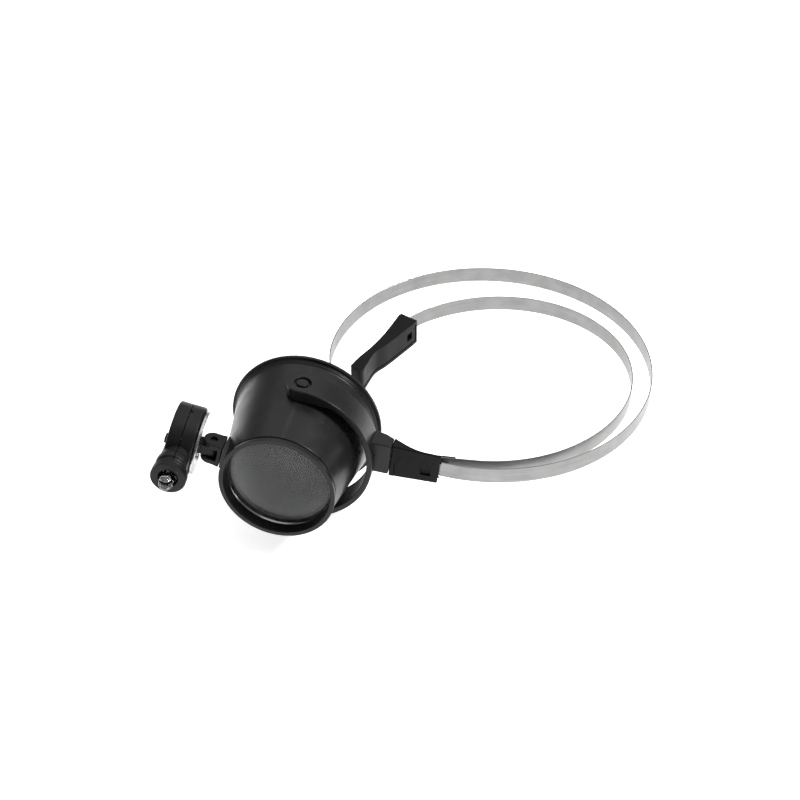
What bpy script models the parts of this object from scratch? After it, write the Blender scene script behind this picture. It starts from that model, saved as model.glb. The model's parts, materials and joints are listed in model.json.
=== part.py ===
"""Head-worn eye loupe: an eyecup with a lens, held in a C-shaped yoke on two sprung head hoops,
with a small battery lamp hinged to the side of the cup.

Every length is in millimetres, and MM turns it into metres where a mesh is made.

The origin is the middle of the head, at the centre of the inner hoop, with the hoops level as worn.

Frames, from the outside in:
  hoops       the plane of both head hoops: +Z is up, the viewing direction is about -Y
  arm         +X runs from the cup out along the front arm, +Y points to the wearer
  flip        +X is the twist axis between the front arm and the yoke
  pivot       +Z is the axis through the yoke's two pivot pins, -Y is the viewing direction
  lamp_side   like pivot, turned about the cup's axis to the lamp bracket
  lamp        +Z is the lamp's hinge pin
  inner_hoop  +Y is the rivet that joins the two hoops' arms
"""
import math

import bmesh
import bpy
from mathutils import Matrix, Vector

MM = 0.001
GAP = 0.3

# frames
ARM_ORIGIN = (-70.3, -33.5, 0.0)
ARM_TURN = -12.4
SEAM_X = 33.5
FLIP_AXIS_Y = -1.9
SEAM_LEAN = 7.0
CUP_PITCH = -3.5
PIVOT_FROM_SEAM = (-33.3, -0.4, -4.0)

# eyecup: distances along the cup are counted from the rim at the eye
ROUND_SEGMENTS = 64
CUP_LENGTH = 40.1
PIVOT_STATION = 15.3
RIM_RADIUS = 27.0
STEP_RADIUS = 25.9
CONE_START = 2.9
CONE_END = 37.3
CONE_BIG_RADIUS = 25.2
CONE_SMALL_RADIUS = 19.6
CUP_WALL = 1.7
LENS_LEDGE = 33.0
LENS_LEDGE_RADIUS = 17.2
LENS_SEAT_RADIUS = 18.4
LENS_RADIUS = 18.1
LENS_BACK_EDGE = 33.3
LENS_FRONT_EDGE = 36.9
LENS_CROWN = 2.2
RING_RADIUS = 20.0
RING_OPENING = 17.6

# yoke
YOKE_RADIUS = 27.1
YOKE_PLATE = 2.0
YOKE_OFFSET = 0.97
YOKE_HALF_WIDTH = 5.4
YOKE_END_CLEARANCE = 0.45
PIN_HEAD_RADIUS = 2.0
PIN_SHANK_RADIUS = 1.2
COUNTERBORE_RADIUS = 2.95
HUB_HALF_HEIGHT = 6.1
HUB_CENTRE_Z = 4.0
HUB_FACE = 33.15
FLIP_SHANK_RADIUS = 0.95
FLIP_HEAD_RADIUS = 2.5

# front arm
ARM_END_X = 50.7
ARM_FRONT_Y = (-3.9, -5.2)
ARM_HALF_HEIGHT = (6.8, 6.2)
ARM_PANEL_DEPTH = 0.35
ARM_PANEL_TOP = 2.8
ARM_WINDOW_X = (44.0, 47.6)
ARM_WINDOW_Z = (-3.7, -0.6)
ARM_WINDOW_FLOOR = -3.2
ARM_CORE_HALF_HEIGHT = 3.6
RIVET_X = 43.0
RIVET_DISC_RADIUS = 2.8
RIVET_SHANK_RADIUS = 0.95
RIVET_HEAD_RADIUS = 2.0

# steel strips
STRIP_WIDTH = 6.1
STRIP_THICKNESS = 0.4
OUTER_HOOP = {
    "centre": (-2.2, 7.8), "radius": 59.3, "oval": 0.7, "phase": 110.0, "start": 251.2, "end": 172.0,
    "lead_in": 3.2, "tail_radius": 40.0, "tail_turn": 20.0, "tail_straight": 7.9,
}
INNER_HOOP = {
    "centre": (0.0, 0.0), "radius": 48.5, "oval": 1.5, "phase": 35.0, "start": 258.0, "end": 122.0,
    "lead_in": 12.8, "tail_radius": 32.0, "tail_turn": 20.0, "tail_straight": 6.0,
}
SWEEP_STEPS = 56
TAIL_STEPS = 5
STRIP_RIVET_X = 9.0
STRIP_HOLE_RADIUS = 1.0

# end pads: place and heading of the strip end of each pad
PAD_HALF_HEIGHT = 5.0
DRAWN_PAD_LENGTH = 36.0
OUTER_PAD = {"place": (-58.9, -0.9, 0.0), "heading": 281.0, "length": 14.4}
INNER_PAD = {"place": (-31.4, 32.2, 0.0), "heading": 234.0, "length": 37.0}

# lamp hinge, in the lamp_side frame
LAMP_SIDE_TURN = 7.2
LAMP_TURN = 3.9
LAMP_HINGE = (-25.4, -15.6, 0.0)
BRACKET_HALF_LENGTH = 3.6
BRACKET_PAD_X = -21.3
BRACKET_SCREW_Y = -13.8
EAR_RADIUS = 3.4
EAR_OUTER_Z = 4.2
EAR_INNER_Z = 2.2
LUG_RADIUS = 2.2
HINGE_PIN_RADIUS = 1.0

# lamp, in its own frame on the hinge pin
LAMP_X = -9.9
LAMP_HALF_THICKNESS = 4.65
DISC_Y = 0.95
DISC_RADIUS = 11.9
SNOUT_RADIUS = 5.2
SNOUT_BORE = 3.3
SNOUT_LENGTH = 17.3
NOSE_RADIUS = 6.0
NOSE_LENGTH = 20.6
PLATE_RADIUS = 11.0
PLATE_THICKNESS = 1.0
PLATE_SCREW_Y = -6.5
LED_RADIUS = 2.5
LED_FLANGE_RADIUS = 2.9
LED_BASE = 16.3
LED_SHOULDER = 22.8
LEAD_SPREAD = 1.27
LEAD_THICKNESS = 0.4
CELL_RADIUS = 10.0
CELL_THICKNESS = 1.6
CHAMBER_RADIUS = 10.5
CHAMBER_HALF_DEPTH = 3.4
SWITCH_Y = -0.5
SWITCH_SLOT_HALF_LENGTH = 2.8

MATERIALS = {}


def material(name, colour, roughness, metallic=0.0, alpha=1.0):
    """One Principled material, made once and shared."""
    if name not in MATERIALS:
        made = bpy.data.materials.new(name)
        made.use_nodes = True
        shader = made.node_tree.nodes["Principled BSDF"]
        shader.inputs["Base Color"].default_value = (*colour, 1.0)
        shader.inputs["Roughness"].default_value = roughness
        shader.inputs["Metallic"].default_value = metallic
        shader.inputs["Alpha"].default_value = alpha
        MATERIALS[name] = made
    return MATERIALS[name]


def black_plastic():
    return material("black_plastic", (0.027, 0.027, 0.028), 0.42)


def lamp_plastic():
    return material("lamp_plastic", (0.022, 0.022, 0.023), 0.5)


def strip_steel():
    return material("strip_steel", (0.62, 0.6, 0.58), 0.34, metallic=1.0)


def plated_steel():
    return material("plated_steel", (0.7, 0.7, 0.69), 0.3, metallic=1.0)


def clear_acrylic():
    return material("clear_acrylic", (0.8, 0.82, 0.84), 0.05, alpha=0.35)


def clear_resin():
    return material("clear_resin", (0.9, 0.9, 0.92), 0.1, alpha=0.5)


def clear_scene():
    for old in list(bpy.data.objects):
        bpy.data.objects.remove(old, do_unlink=True)


def empty(name, parent=None, location=(0.0, 0.0, 0.0), turn=(0.0, 0.0, 0.0)):
    """A frame: location in millimetres and rotation in degrees, in the parent's frame."""
    made = bpy.data.objects.new(name, None)
    bpy.context.scene.collection.objects.link(made)
    made.parent = parent
    made.location = [value * MM for value in location]
    made.rotation_euler = [math.radians(value) for value in turn]
    return made


def finish(name, mesh_data, parent, look):
    """Turn a bmesh drawn in millimetres into an object in its parent's frame."""
    bmesh.ops.remove_doubles(mesh_data, verts=mesh_data.verts, dist=1e-5)
    bmesh.ops.scale(mesh_data, vec=(MM, MM, MM), verts=mesh_data.verts)
    bmesh.ops.recalc_face_normals(mesh_data, faces=mesh_data.faces)
    mesh = bpy.data.meshes.new(name)
    mesh_data.to_mesh(mesh)
    mesh_data.free()
    mesh.shade_smooth()
    mesh.set_sharp_from_angle(angle=math.radians(35))
    made = bpy.data.objects.new(name, mesh)
    bpy.context.scene.collection.objects.link(made)
    made.parent = parent
    if look:
        mesh.materials.append(look)
    else:
        made.hide_render = True
        made.display_type = "WIRE"
    return made


def turned(name, profile, parent, look, origin=(0.0, 0.0, 0.0), axis=(0.0, 0.0, 1.0), segments=32):
    """Revolve a closed profile of (radius, height) about an axis through origin."""
    mesh_data = bmesh.new()
    swing = Vector((0, 0, 1)).rotation_difference(Vector(axis)).to_matrix().to_4x4()
    place = Matrix.Translation(origin) @ swing
    rings = []
    for radius, height in profile:
        if radius < 1e-6:
            rings.append([mesh_data.verts.new(place @ Vector((0, 0, height)))])
            continue
        ring = []
        for step in range(segments):
            angle = math.tau * step / segments
            ring.append(mesh_data.verts.new(
                place @ Vector((radius * math.cos(angle), radius * math.sin(angle), height))))
        rings.append(ring)
    for first, second in zip(rings, rings[1:] + rings[:1]):
        if len(first) == 1 and len(second) == 1:
            continue
        for step in range(segments):
            after = (step + 1) % segments
            if len(first) == 1:
                corners = (first[0], second[step], second[after])
            elif len(second) == 1:
                corners = (first[step], first[after], second[0])
            else:
                corners = (first[step], first[after], second[after], second[step])
            mesh_data.faces.new(corners)
    return finish(name, mesh_data, parent, look)


def rod(name, radius, low, high, parent, look, origin=(0.0, 0.0, 0.0), axis=(0.0, 0.0, 1.0), segments=24):
    """A plain cylinder between two heights on an axis."""
    profile = [(0, low), (radius, low), (radius, high), (0, high)]
    return turned(name, profile, parent, look, origin, axis, segments)


AXIS_ORDER = {
    "x": lambda a, b, h: (h, a, b),
    "y": lambda a, b, h: (a, h, b),
    "z": lambda a, b, h: (a, b, h),
}


def prism(name, outline, low, high, parent, look, axis="z", warp=None):
    """Extrude a closed outline along one axis; warp may move each finished point."""
    mesh_data = bmesh.new()
    order = AXIS_ORDER[axis]
    bottom = [mesh_data.verts.new(order(a, b, low)) for a, b in outline]
    top = [mesh_data.verts.new(order(a, b, high)) for a, b in outline]
    mesh_data.faces.new(bottom)
    mesh_data.faces.new(top)
    for index in range(len(outline)):
        after = (index + 1) % len(outline)
        mesh_data.faces.new((bottom[index], bottom[after], top[after], top[index]))
    if warp:
        for vertex in mesh_data.verts:
            vertex.co = warp(*vertex.co)
    return finish(name, mesh_data, parent, look)


def block(name, low, high, parent, look):
    """A box between two corners."""
    outline = [(low[0], low[1]), (high[0], low[1]), (high[0], high[1]), (low[0], high[1])]
    return prism(name, outline, low[2], high[2], parent, look)


def boolean(target, other, operation):
    """Combine with a helper solid, which stays in the file as a hidden guide."""
    modifier = target.modifiers.new(operation.lower(), "BOOLEAN")
    modifier.operation = operation
    modifier.solver = "EXACT"
    modifier.object = other


def cut(target, *cutters):
    for cutter in cutters:
        boolean(target, cutter, "DIFFERENCE")


def soften(target, width, segments=1, angle=35.0):
    """Break the sharp edges of a moulding."""
    modifier = target.modifiers.new("soften", "BEVEL")
    modifier.width = width * MM
    modifier.segments = segments
    modifier.limit_method = "ANGLE"
    modifier.angle_limit = math.radians(angle)
    modifier.use_clamp_overlap = True


def arc(centre, radius, start, end, steps):
    """Points on a circle, angles in degrees."""
    points = []
    for step in range(steps + 1):
        angle = math.radians(start + (end - start) * step / steps)
        points.append((centre[0] + radius * math.cos(angle), centre[1] + radius * math.sin(angle)))
    return points


def smooth(points, steps):
    """A Catmull-Rom curve through hand-placed points."""
    curve = []
    padded = [points[0]] + list(points) + [points[-1]]
    for index in range(1, len(padded) - 2):
        before, start, end, after = (Vector(point) for point in padded[index - 1:index + 3])
        for step in range(steps):
            t = step / steps
            point = 0.5 * (2 * start + (end - before) * t
                           + (2 * before - 5 * start + 4 * end - after) * t ** 2
                           + (3 * start - before - 3 * end + after) * t ** 3)
            curve.append(tuple(point))
    curve.append(tuple(points[-1]))
    return curve


def mix(low, high, share):
    return low + (high - low) * min(max(share, 0.0), 1.0)


def cone_radius(station):
    """Outer radius of the cup's cone at a distance from the rim."""
    share = (station - CONE_START) / (CONE_END - CONE_START)
    return mix(CONE_BIG_RADIUS, CONE_SMALL_RADIUS, share)


# ---------------------------------------------------------------- eyecup

def eyecup_shell(pivot):
    """Rim flange, step, cone, lens seat and the two bores for the pivot pins."""
    inside_start = cone_radius(CONE_START) - CUP_WALL
    profile = [
        (RIM_RADIUS - 0.5, 0.0), (RIM_RADIUS, 0.4), (RIM_RADIUS, 1.0), (RIM_RADIUS - 0.3, 1.3),
        (STEP_RADIUS, 1.3), (STEP_RADIUS, 2.3), (CONE_BIG_RADIUS, CONE_START),
        (CONE_SMALL_RADIUS, CONE_END), (LENS_SEAT_RADIUS, CONE_END),
        (LENS_SEAT_RADIUS, LENS_LEDGE), (LENS_LEDGE_RADIUS, LENS_LEDGE),
        (LENS_LEDGE_RADIUS, LENS_LEDGE - 1.2), (cone_radius(LENS_LEDGE - 2) - CUP_WALL, LENS_LEDGE - 2),
        (inside_start, CONE_START), (inside_start + 0.6, 0.4), (inside_start + 1.0, 0.0),
    ]
    shell = turned("eyecup_shell", profile, pivot, black_plastic(),
                   (0, PIVOT_STATION, 0), (0, -1, 0), ROUND_SEGMENTS)
    wall = cone_radius(PIVOT_STATION)
    for side, label in ((1, "top"), (-1, "bottom")):
        cut(shell, rod(f"guide_bore_{label}", PIN_SHANK_RADIUS + GAP, side * (wall - 4), side * (wall + 2),
                       pivot, None))
    return shell


def lens(pivot):
    """Biconvex lens with a ground edge."""
    steps = 6
    dome = []
    for step in range(steps + 1):
        share = step / steps
        dome.append((LENS_RADIUS * share, LENS_CROWN * (1 - share ** 2)))
    front = [(radius, LENS_FRONT_EDGE + height) for radius, height in dome]
    back = [(radius, LENS_BACK_EDGE - height) for radius, height in dome]
    turned("lens", back + front[::-1], pivot, clear_acrylic(), (0, PIVOT_STATION, 0), (0, -1, 0), 40)


def lens_retaining_ring(pivot):
    """Front ring that closes the lens end of the cup."""
    start = CONE_END + GAP
    profile = [
        (RING_OPENING, LENS_FRONT_EDGE + GAP), (LENS_RADIUS, LENS_FRONT_EDGE + GAP), (LENS_RADIUS, start),
        (RING_RADIUS - 0.2, start), (RING_RADIUS, start + 0.4), (RING_RADIUS, CUP_LENGTH - 0.5),
        (RING_RADIUS - 0.5, CUP_LENGTH), (RING_OPENING + 0.3, CUP_LENGTH), (RING_OPENING, CUP_LENGTH - 0.3),
    ]
    turned("lens_retaining_ring", profile, pivot, black_plastic(),
           (0, PIVOT_STATION, 0), (0, -1, 0), ROUND_SEGMENTS)


def pivot_pins(pivot):
    """Two headed pins that hang the cup in the yoke."""
    under_head = YOKE_RADIUS - 0.85
    for side, label in ((1, "top"), (-1, "bottom")):
        profile = [
            (0, 22.0), (PIN_SHANK_RADIUS, 22.0), (PIN_SHANK_RADIUS, under_head),
            (PIN_HEAD_RADIUS, under_head), (PIN_HEAD_RADIUS, YOKE_RADIUS - 0.35),
            (PIN_HEAD_RADIUS - 0.25, YOKE_RADIUS - 0.1), (0, YOKE_RADIUS - 0.1),
        ]
        turned(f"pivot_pin_{label}", profile, pivot, black_plastic(), axis=(0, 0, side), segments=20)


# ---------------------------------------------------------------- yoke

def yoke_hollow(pivot):
    """What the yoke bends around: its round inside, cut flat near both ends, where it follows the cone."""
    inner = YOKE_RADIUS - YOKE_PLATE
    hollow = rod("guide_yoke_hollow", inner, -40, 40, pivot, None,
                 (YOKE_OFFSET, 0, 0), (0, 1, 0), ROUND_SEGMENTS)
    reach = YOKE_HALF_WIDTH + 1.0
    front = cone_radius(PIVOT_STATION + reach) + YOKE_END_CLEARANCE
    back = cone_radius(PIVOT_STATION - reach) + YOKE_END_CLEARANCE
    wedge = [(-reach, -front), (-reach, front), (reach, back), (reach, -back)]
    boolean(hollow, prism("guide_yoke_wedge", wedge, -40, 40, pivot, None, "x"), "INTERSECT")
    return hollow


def yoke(pivot):
    """C-shaped plate with thick round ends, counterbored for the pins, and a hub for the front arm."""
    half = YOKE_HALF_WIDTH
    plate = rod("yoke", YOKE_RADIUS, -half, half, pivot, black_plastic(), (YOKE_OFFSET, 0, 0), (0, 1, 0), 88)
    cut(plate, yoke_hollow(pivot))
    ends = arc((0, 0), half, 90, 270, 14) + [(40, -half - 1), (40, half + 1)]
    trim = prism("guide_yoke_ends", ends, -40, 40, pivot, None)
    boolean(plate, trim, "INTERSECT")
    hub = hub_block(pivot)
    boolean(plate, hub, "UNION")
    for side, label in ((1, "top"), (-1, "bottom")):
        cut(plate,
            rod(f"guide_eye_{label}", PIN_SHANK_RADIUS + GAP, side * 20, side * 30, pivot, None),
            rod(f"guide_counterbore_{label}", COUNTERBORE_RADIUS, side * (YOKE_RADIUS - 1.15), side * 30,
                pivot, None))
    flip_line = (0.0, -PIVOT_FROM_SEAM[1], HUB_CENTRE_Z)
    cut(plate,
        rod("guide_flip_bore", FLIP_SHANK_RADIUS + GAP, 24, 36, pivot, None, flip_line, (1, 0, 0)),
        rod("guide_flip_pocket", FLIP_HEAD_RADIUS + GAP, 23.5, 27.8, pivot, None, flip_line, (1, 0, 0)))
    return plate


def hub_block(pivot):
    """Block that carries the twist joint; its back follows the arm's taper."""
    outline = [(25.6, -1.9), (HUB_FACE, -1.6), (HUB_FACE, 3.4), (29.8, 5.0), (27.5, 5.39), (25.6, 5.39)]
    low = HUB_CENTRE_Z - HUB_HALF_HEIGHT
    high = HUB_CENTRE_Z + HUB_HALF_HEIGHT
    hub = prism("guide_hub", outline, low, high, pivot, None)
    soften(hub, 0.4, 2)
    return hub


def flip_screw(flip):
    """Shouldered screw on the twist axis, headed inside the yoke and fixed in the front arm."""
    head = PIVOT_FROM_SEAM[0] + 26.0
    profile = [(0, head), (FLIP_HEAD_RADIUS, head), (FLIP_HEAD_RADIUS, head + 0.9),
               (FLIP_SHANK_RADIUS, head + 0.9), (FLIP_SHANK_RADIUS, 3.4), (0, 3.4)]
    turned("flip_screw", profile, flip, plated_steel(), axis=(1, 0, 0), segments=20)


def friction_washer(flip):
    """Washer between the screw's head and the yoke."""
    start = PIVOT_FROM_SEAM[0] + 27.2
    profile = [(FLIP_SHANK_RADIUS + GAP, start), (FLIP_HEAD_RADIUS, start),
               (FLIP_HEAD_RADIUS, start + 0.3), (FLIP_SHANK_RADIUS + GAP, start + 0.3)]
    turned("friction_washer", profile, flip, plated_steel(), axis=(1, 0, 0), segments=20)


# ---------------------------------------------------------------- front arm and hoops

def arm_front_y(x):
    """The front arm's outer face, which drifts forward towards the strip."""
    return mix(*ARM_FRONT_Y, (x - SEAM_X) / (ARM_END_X - SEAM_X))


def lean(x, y, z):
    """Slant upright edges like the seam and taper the height along the arm."""
    half = mix(*ARM_HALF_HEIGHT, (x - SEAM_X) / (ARM_END_X - SEAM_X))
    return Vector((x + z * half * math.tan(math.radians(SEAM_LEAN)), y, z * half))


def strip_path(hoop):
    """A straight lead-in, an oval sweep, a tighter tail and a straight end, in the hoops' plane."""
    start = hoop["start"]
    first = hoop_point(hoop, start)
    back = (first - hoop_point(hoop, start + 1.0)).normalized()
    points = [first + back * hoop["lead_in"]]
    span = hoop["end"] + 360.0 - start
    for step in range(SWEEP_STEPS + 1):
        points.append(hoop_point(hoop, start + span * step / SWEEP_STEPS))
    heading = points[-1] - points[-2]
    angle = math.atan2(heading.y, heading.x)
    turn = math.radians(hoop["tail_turn"])
    length = hoop["tail_radius"] * turn / TAIL_STEPS
    for _ in range(TAIL_STEPS):
        angle += turn / TAIL_STEPS
        points.append(points[-1] + length * Vector((math.cos(angle), math.sin(angle))))
    points.append(points[-1] + hoop["tail_straight"] * Vector((math.cos(angle), math.sin(angle))))
    return points


def hoop_point(hoop, angle):
    """A point on an oval hoop."""
    radius = hoop["radius"] + hoop["oval"] * math.cos(2 * math.radians(angle - hoop["phase"]))
    turn = math.radians(angle)
    return Vector(hoop["centre"]) + radius * Vector((math.cos(turn), math.sin(turn)))


def ribbon(path, half_thickness):
    """Outline of a strip of even thickness along a path."""
    left = []
    right = []
    for index, point in enumerate(path):
        ahead = path[min(index + 1, len(path) - 1)]
        behind = path[max(index - 1, 0)]
        along = (ahead - behind).normalized()
        side = Vector((-along.y, along.x)) * half_thickness
        left.append(tuple(point + side))
        right.append(tuple(point - side))
    return left + right[::-1]


def strip(name, hoop, hoops):
    """One spring-steel strip, standing on edge in the hoops' plane."""
    half = STRIP_WIDTH / 2
    return prism(name, ribbon(strip_path(hoop), STRIP_THICKNESS / 2), -half, half, hoops, strip_steel())


def slot_cutter(name, path, hoops):
    """The pocket that takes a strip's end."""
    half = STRIP_WIDTH / 2 + GAP
    return prism(name, ribbon(path, STRIP_THICKNESS / 2 + GAP), -half, half, hoops, None)


def front_arm(arm, hoops, flip):
    """Tapered moulding between the twist joint and the outer strip."""
    outline = [(SEAM_X, ARM_FRONT_Y[0]), (ARM_END_X, ARM_FRONT_Y[1]), (ARM_END_X, -2.6), (39.9, -2.45),
               (39.4, -0.8), (SEAM_X, 0.9)]
    body = prism("front_arm", outline, -1.0, 1.0, arm, black_plastic(), warp=lean)
    soften(body, 0.45, 2)
    path = strip_path(OUTER_HOOP)[:5]
    path[0] = path[0] + (path[0] - path[1]).normalized() * GAP
    for side, label in ((1, "top"), (-1, "bottom")):
        cut(body, back_cutter(f"guide_arm_back_{label}", side, arm))
    cut(body,
        slot_cutter("guide_outer_slot", path, hoops),
        panel_cutter(arm),
        window_cutter("guide_arm_window", arm),
        rod("guide_screw_bore", FLIP_SHANK_RADIUS + GAP, -1.0, 3.7, flip, None, axis=(1, 0, 0)),
        rod("guide_rivet_bore", RIVET_SHANK_RADIUS + GAP, -3.6, 0.0, arm, None, (RIVET_X, 0, 0), (0, 1, 0)))


def window_cutter(name, arm):
    """The blind window in the arm's outer face, just short of the strip's end."""
    low = (ARM_WINDOW_X[0], -6.0, ARM_WINDOW_Z[0])
    high = (ARM_WINDOW_X[1], ARM_WINDOW_FLOOR, ARM_WINDOW_Z[1])
    return block(name, low, high, arm, None)


def back_cutter(name, side, arm):
    """Leaves the arm's upper and lower flanges as a thin wall that widens towards the twist joint."""
    curve = smooth([(33.2, 1.1), (34.0, 0.75), (36.9, -0.95), (40.4, -2.7), (44.0, -3.9), (47.6, -4.3),
                    (52.5, -4.55)], 3)
    outline = curve + [(52.5, 4.0), (33.2, 4.0)]
    return prism(name, outline, side * ARM_CORE_HALF_HEIGHT, side * 9.0, arm, None)


def panel_cutter(arm):
    """Shallow recess over the lower part of the arm's outer face, with an S-shaped upper edge."""
    beyond = ARM_END_X + 2.0
    below = -8.5
    edge = smooth([(34.9, below), (35.0, -1.5), (36.0, 0.6), (37.4, 2.2), (39.2, ARM_PANEL_TOP),
                   (beyond, ARM_PANEL_TOP)], 4)
    outline = edge + [(beyond, below)]

    def follow_face(x, y, z):
        return Vector((x, y + arm_front_y(x), z))

    return prism("guide_arm_panel", outline, -3.0, ARM_PANEL_DEPTH, arm, None, "y", follow_face)


def outer_band(hoops):
    """The larger strip."""
    strip("outer_band", OUTER_HOOP, hoops)


def inner_arm(inner):
    """Flat eye on the rivet, and a thin tongue that backs the inner strip."""
    eye = rod("inner_arm", RIVET_DISC_RADIUS, -2.15, -0.5, inner, black_plastic(),
              axis=(0, 1, 0), segments=28)
    tongue_outline = [(2.0, -2.15), (3.9, -2.15), (5.6, -1.3), (12.5, -0.8), (12.5, -0.05), (5.6, -0.5),
                      (2.0, -0.5)]
    tongue = prism("guide_tongue", tongue_outline, -2.7, 2.7, inner, None)
    boolean(eye, tongue, "UNION")
    cut(eye,
        rod("guide_eye_bore", RIVET_SHANK_RADIUS + GAP, -4, 2, inner, None, axis=(0, 1, 0)),
        rod("guide_strip_bore", STRIP_HOLE_RADIUS, -4, 2, inner, None, (STRIP_RIVET_X, 0, 0), (0, 1, 0)))


def band_rivet(inner):
    """Rivet through both hoops' arms."""
    profile = [(0, -3.3), (RIVET_SHANK_RADIUS, -3.3), (RIVET_SHANK_RADIUS, -0.2), (RIVET_HEAD_RADIUS, -0.2),
               (RIVET_HEAD_RADIUS, 0.2), (RIVET_HEAD_RADIUS - 0.4, 0.5), (0, 0.5)]
    turned("band_rivet", profile, inner, plated_steel(), axis=(0, 1, 0), segments=20)


def strip_rivet(inner):
    """Small rivet that fixes the inner strip to its arm."""
    profile = [(0, -2.4), (1.3, -2.4), (1.3, -2.0), (0.7, -2.0),
               (0.7, 0.4), (1.3, 0.4), (1.3, 0.8), (0, 0.8)]
    turned("strip_rivet", profile, inner, plated_steel(), (STRIP_RIVET_X, 0, 0), (0, 1, 0), 16)


def inner_band(inner, hoops):
    """The smaller strip."""
    band = strip("inner_band", INNER_HOOP, hoops)
    cut(band, rod("guide_band_hole", STRIP_HOLE_RADIUS, -4, 2, inner, None,
                  (STRIP_RIVET_X, 0, 0), (0, 1, 0), 16))


def end_pad(name, pad, hoop, hoops):
    """Curved pad on a strip's end: thick at the strip, thin in the middle, curled at its tip."""
    frame = empty(f"{name}_frame", hoops, pad["place"], (0, 0, pad["heading"]))
    stretch = pad["length"] / DRAWN_PAD_LENGTH
    outer = smooth([(0.0, -3.7), (1.6, -3.9), (7.6, -2.6), (15.2, -1.2), (22.6, -0.5), (29.9, -0.4),
                    (35.6, 0.1)], 3)
    inner = smooth([(36.3, 4.7), (34.6, 5.2), (30.5, 4.1), (24.6, 2.7), (18.0, 3.4), (4.3, 3.8),
                    (0.2, 3.7)], 3)
    outline = [(u * stretch, v) for u, v in outer + inner]
    body = prism(name, outline, -PAD_HALF_HEIGHT, PAD_HALF_HEIGHT, frame, black_plastic())
    soften(body, 0.4, 2)
    tail = strip_path(hoop)[-4:]
    tail[-1] = tail[-1] + (tail[-1] - tail[-2]).normalized() * GAP
    cut(body,
        slot_cutter(f"guide_{name}_slot", tail, hoops),
        block(f"guide_{name}_window", (3.4, 2.2, -1.6), (6.4, 6.0, 1.6), frame, None))


# ---------------------------------------------------------------- lamp

def lamp_bracket(side):
    """Base screwed to the cup, with two ears for the lamp's hinge pin."""
    x, y, _ = LAMP_HINGE
    base_inner = BRACKET_PAD_X - GAP
    base_outer = x + LUG_RADIUS + GAP
    bracket = block("lamp_bracket", (base_outer, y - BRACKET_HALF_LENGTH, -EAR_OUTER_Z),
                    (base_inner, y + BRACKET_HALF_LENGTH, EAR_OUTER_Z), side, lamp_plastic())
    root = base_inner - 0.5
    for sign, label in ((1, "top"), (-1, "bottom")):
        outline = arc((x, y), EAR_RADIUS, 90, 270, 14) + [(root, y - EAR_RADIUS), (root, y + EAR_RADIUS)]
        ear = prism(f"guide_ear_{label}", outline, sign * EAR_INNER_Z, sign * EAR_OUTER_Z, side, None)
        boolean(bracket, ear, "UNION")
    cut(bracket,
        rod("guide_pin_bore", HINGE_PIN_RADIUS + GAP, -8, 8, side, None, (x, y, 0), segments=16),
        rod("guide_bracket_screw_bore", 1.0, -24, -20, side, None, (0, BRACKET_SCREW_Y, 0), (1, 0, 0), 16))


def bracket_pad(side, shell):
    """Flat pad on the cone under the bracket, drilled for its screw."""
    _, y, _ = LAMP_HINGE
    pad = block("guide_bracket_pad", (BRACKET_PAD_X, y - BRACKET_HALF_LENGTH, -EAR_OUTER_Z),
                (BRACKET_PAD_X + 1.9, y + BRACKET_HALF_LENGTH, EAR_OUTER_Z), side, None)
    boolean(shell, pad, "UNION")
    seat = BRACKET_PAD_X + 1.6
    cut(shell,
        rod("guide_pad_bore", 1.0, -24, -18, side, None, (0, BRACKET_SCREW_Y, 0), (1, 0, 0), 16),
        rod("guide_pad_sink", 1.7, seat, seat + 4, side, None, (0, BRACKET_SCREW_Y, 0), (1, 0, 0), 16))


def bracket_screw(side):
    """Screw from inside the cup into the bracket."""
    under_head = BRACKET_PAD_X + 1.6 + GAP
    tip = BRACKET_PAD_X - 1.3
    profile = [(0, tip), (0.7, tip), (0.7, under_head), (1.4, under_head), (1.4, under_head + 0.8),
               (0, under_head + 0.8)]
    turned("bracket_screw", profile, side, plated_steel(), (0, BRACKET_SCREW_Y, 0), (1, 0, 0), 16)


def lamp_hinge_pin(side):
    """Pin through the ears, sunk below their faces."""
    half = EAR_OUTER_Z - 0.9
    rod("lamp_hinge_pin", HINGE_PIN_RADIUS, -half, half, side, plated_steel(), LAMP_HINGE, segments=16)


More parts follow.
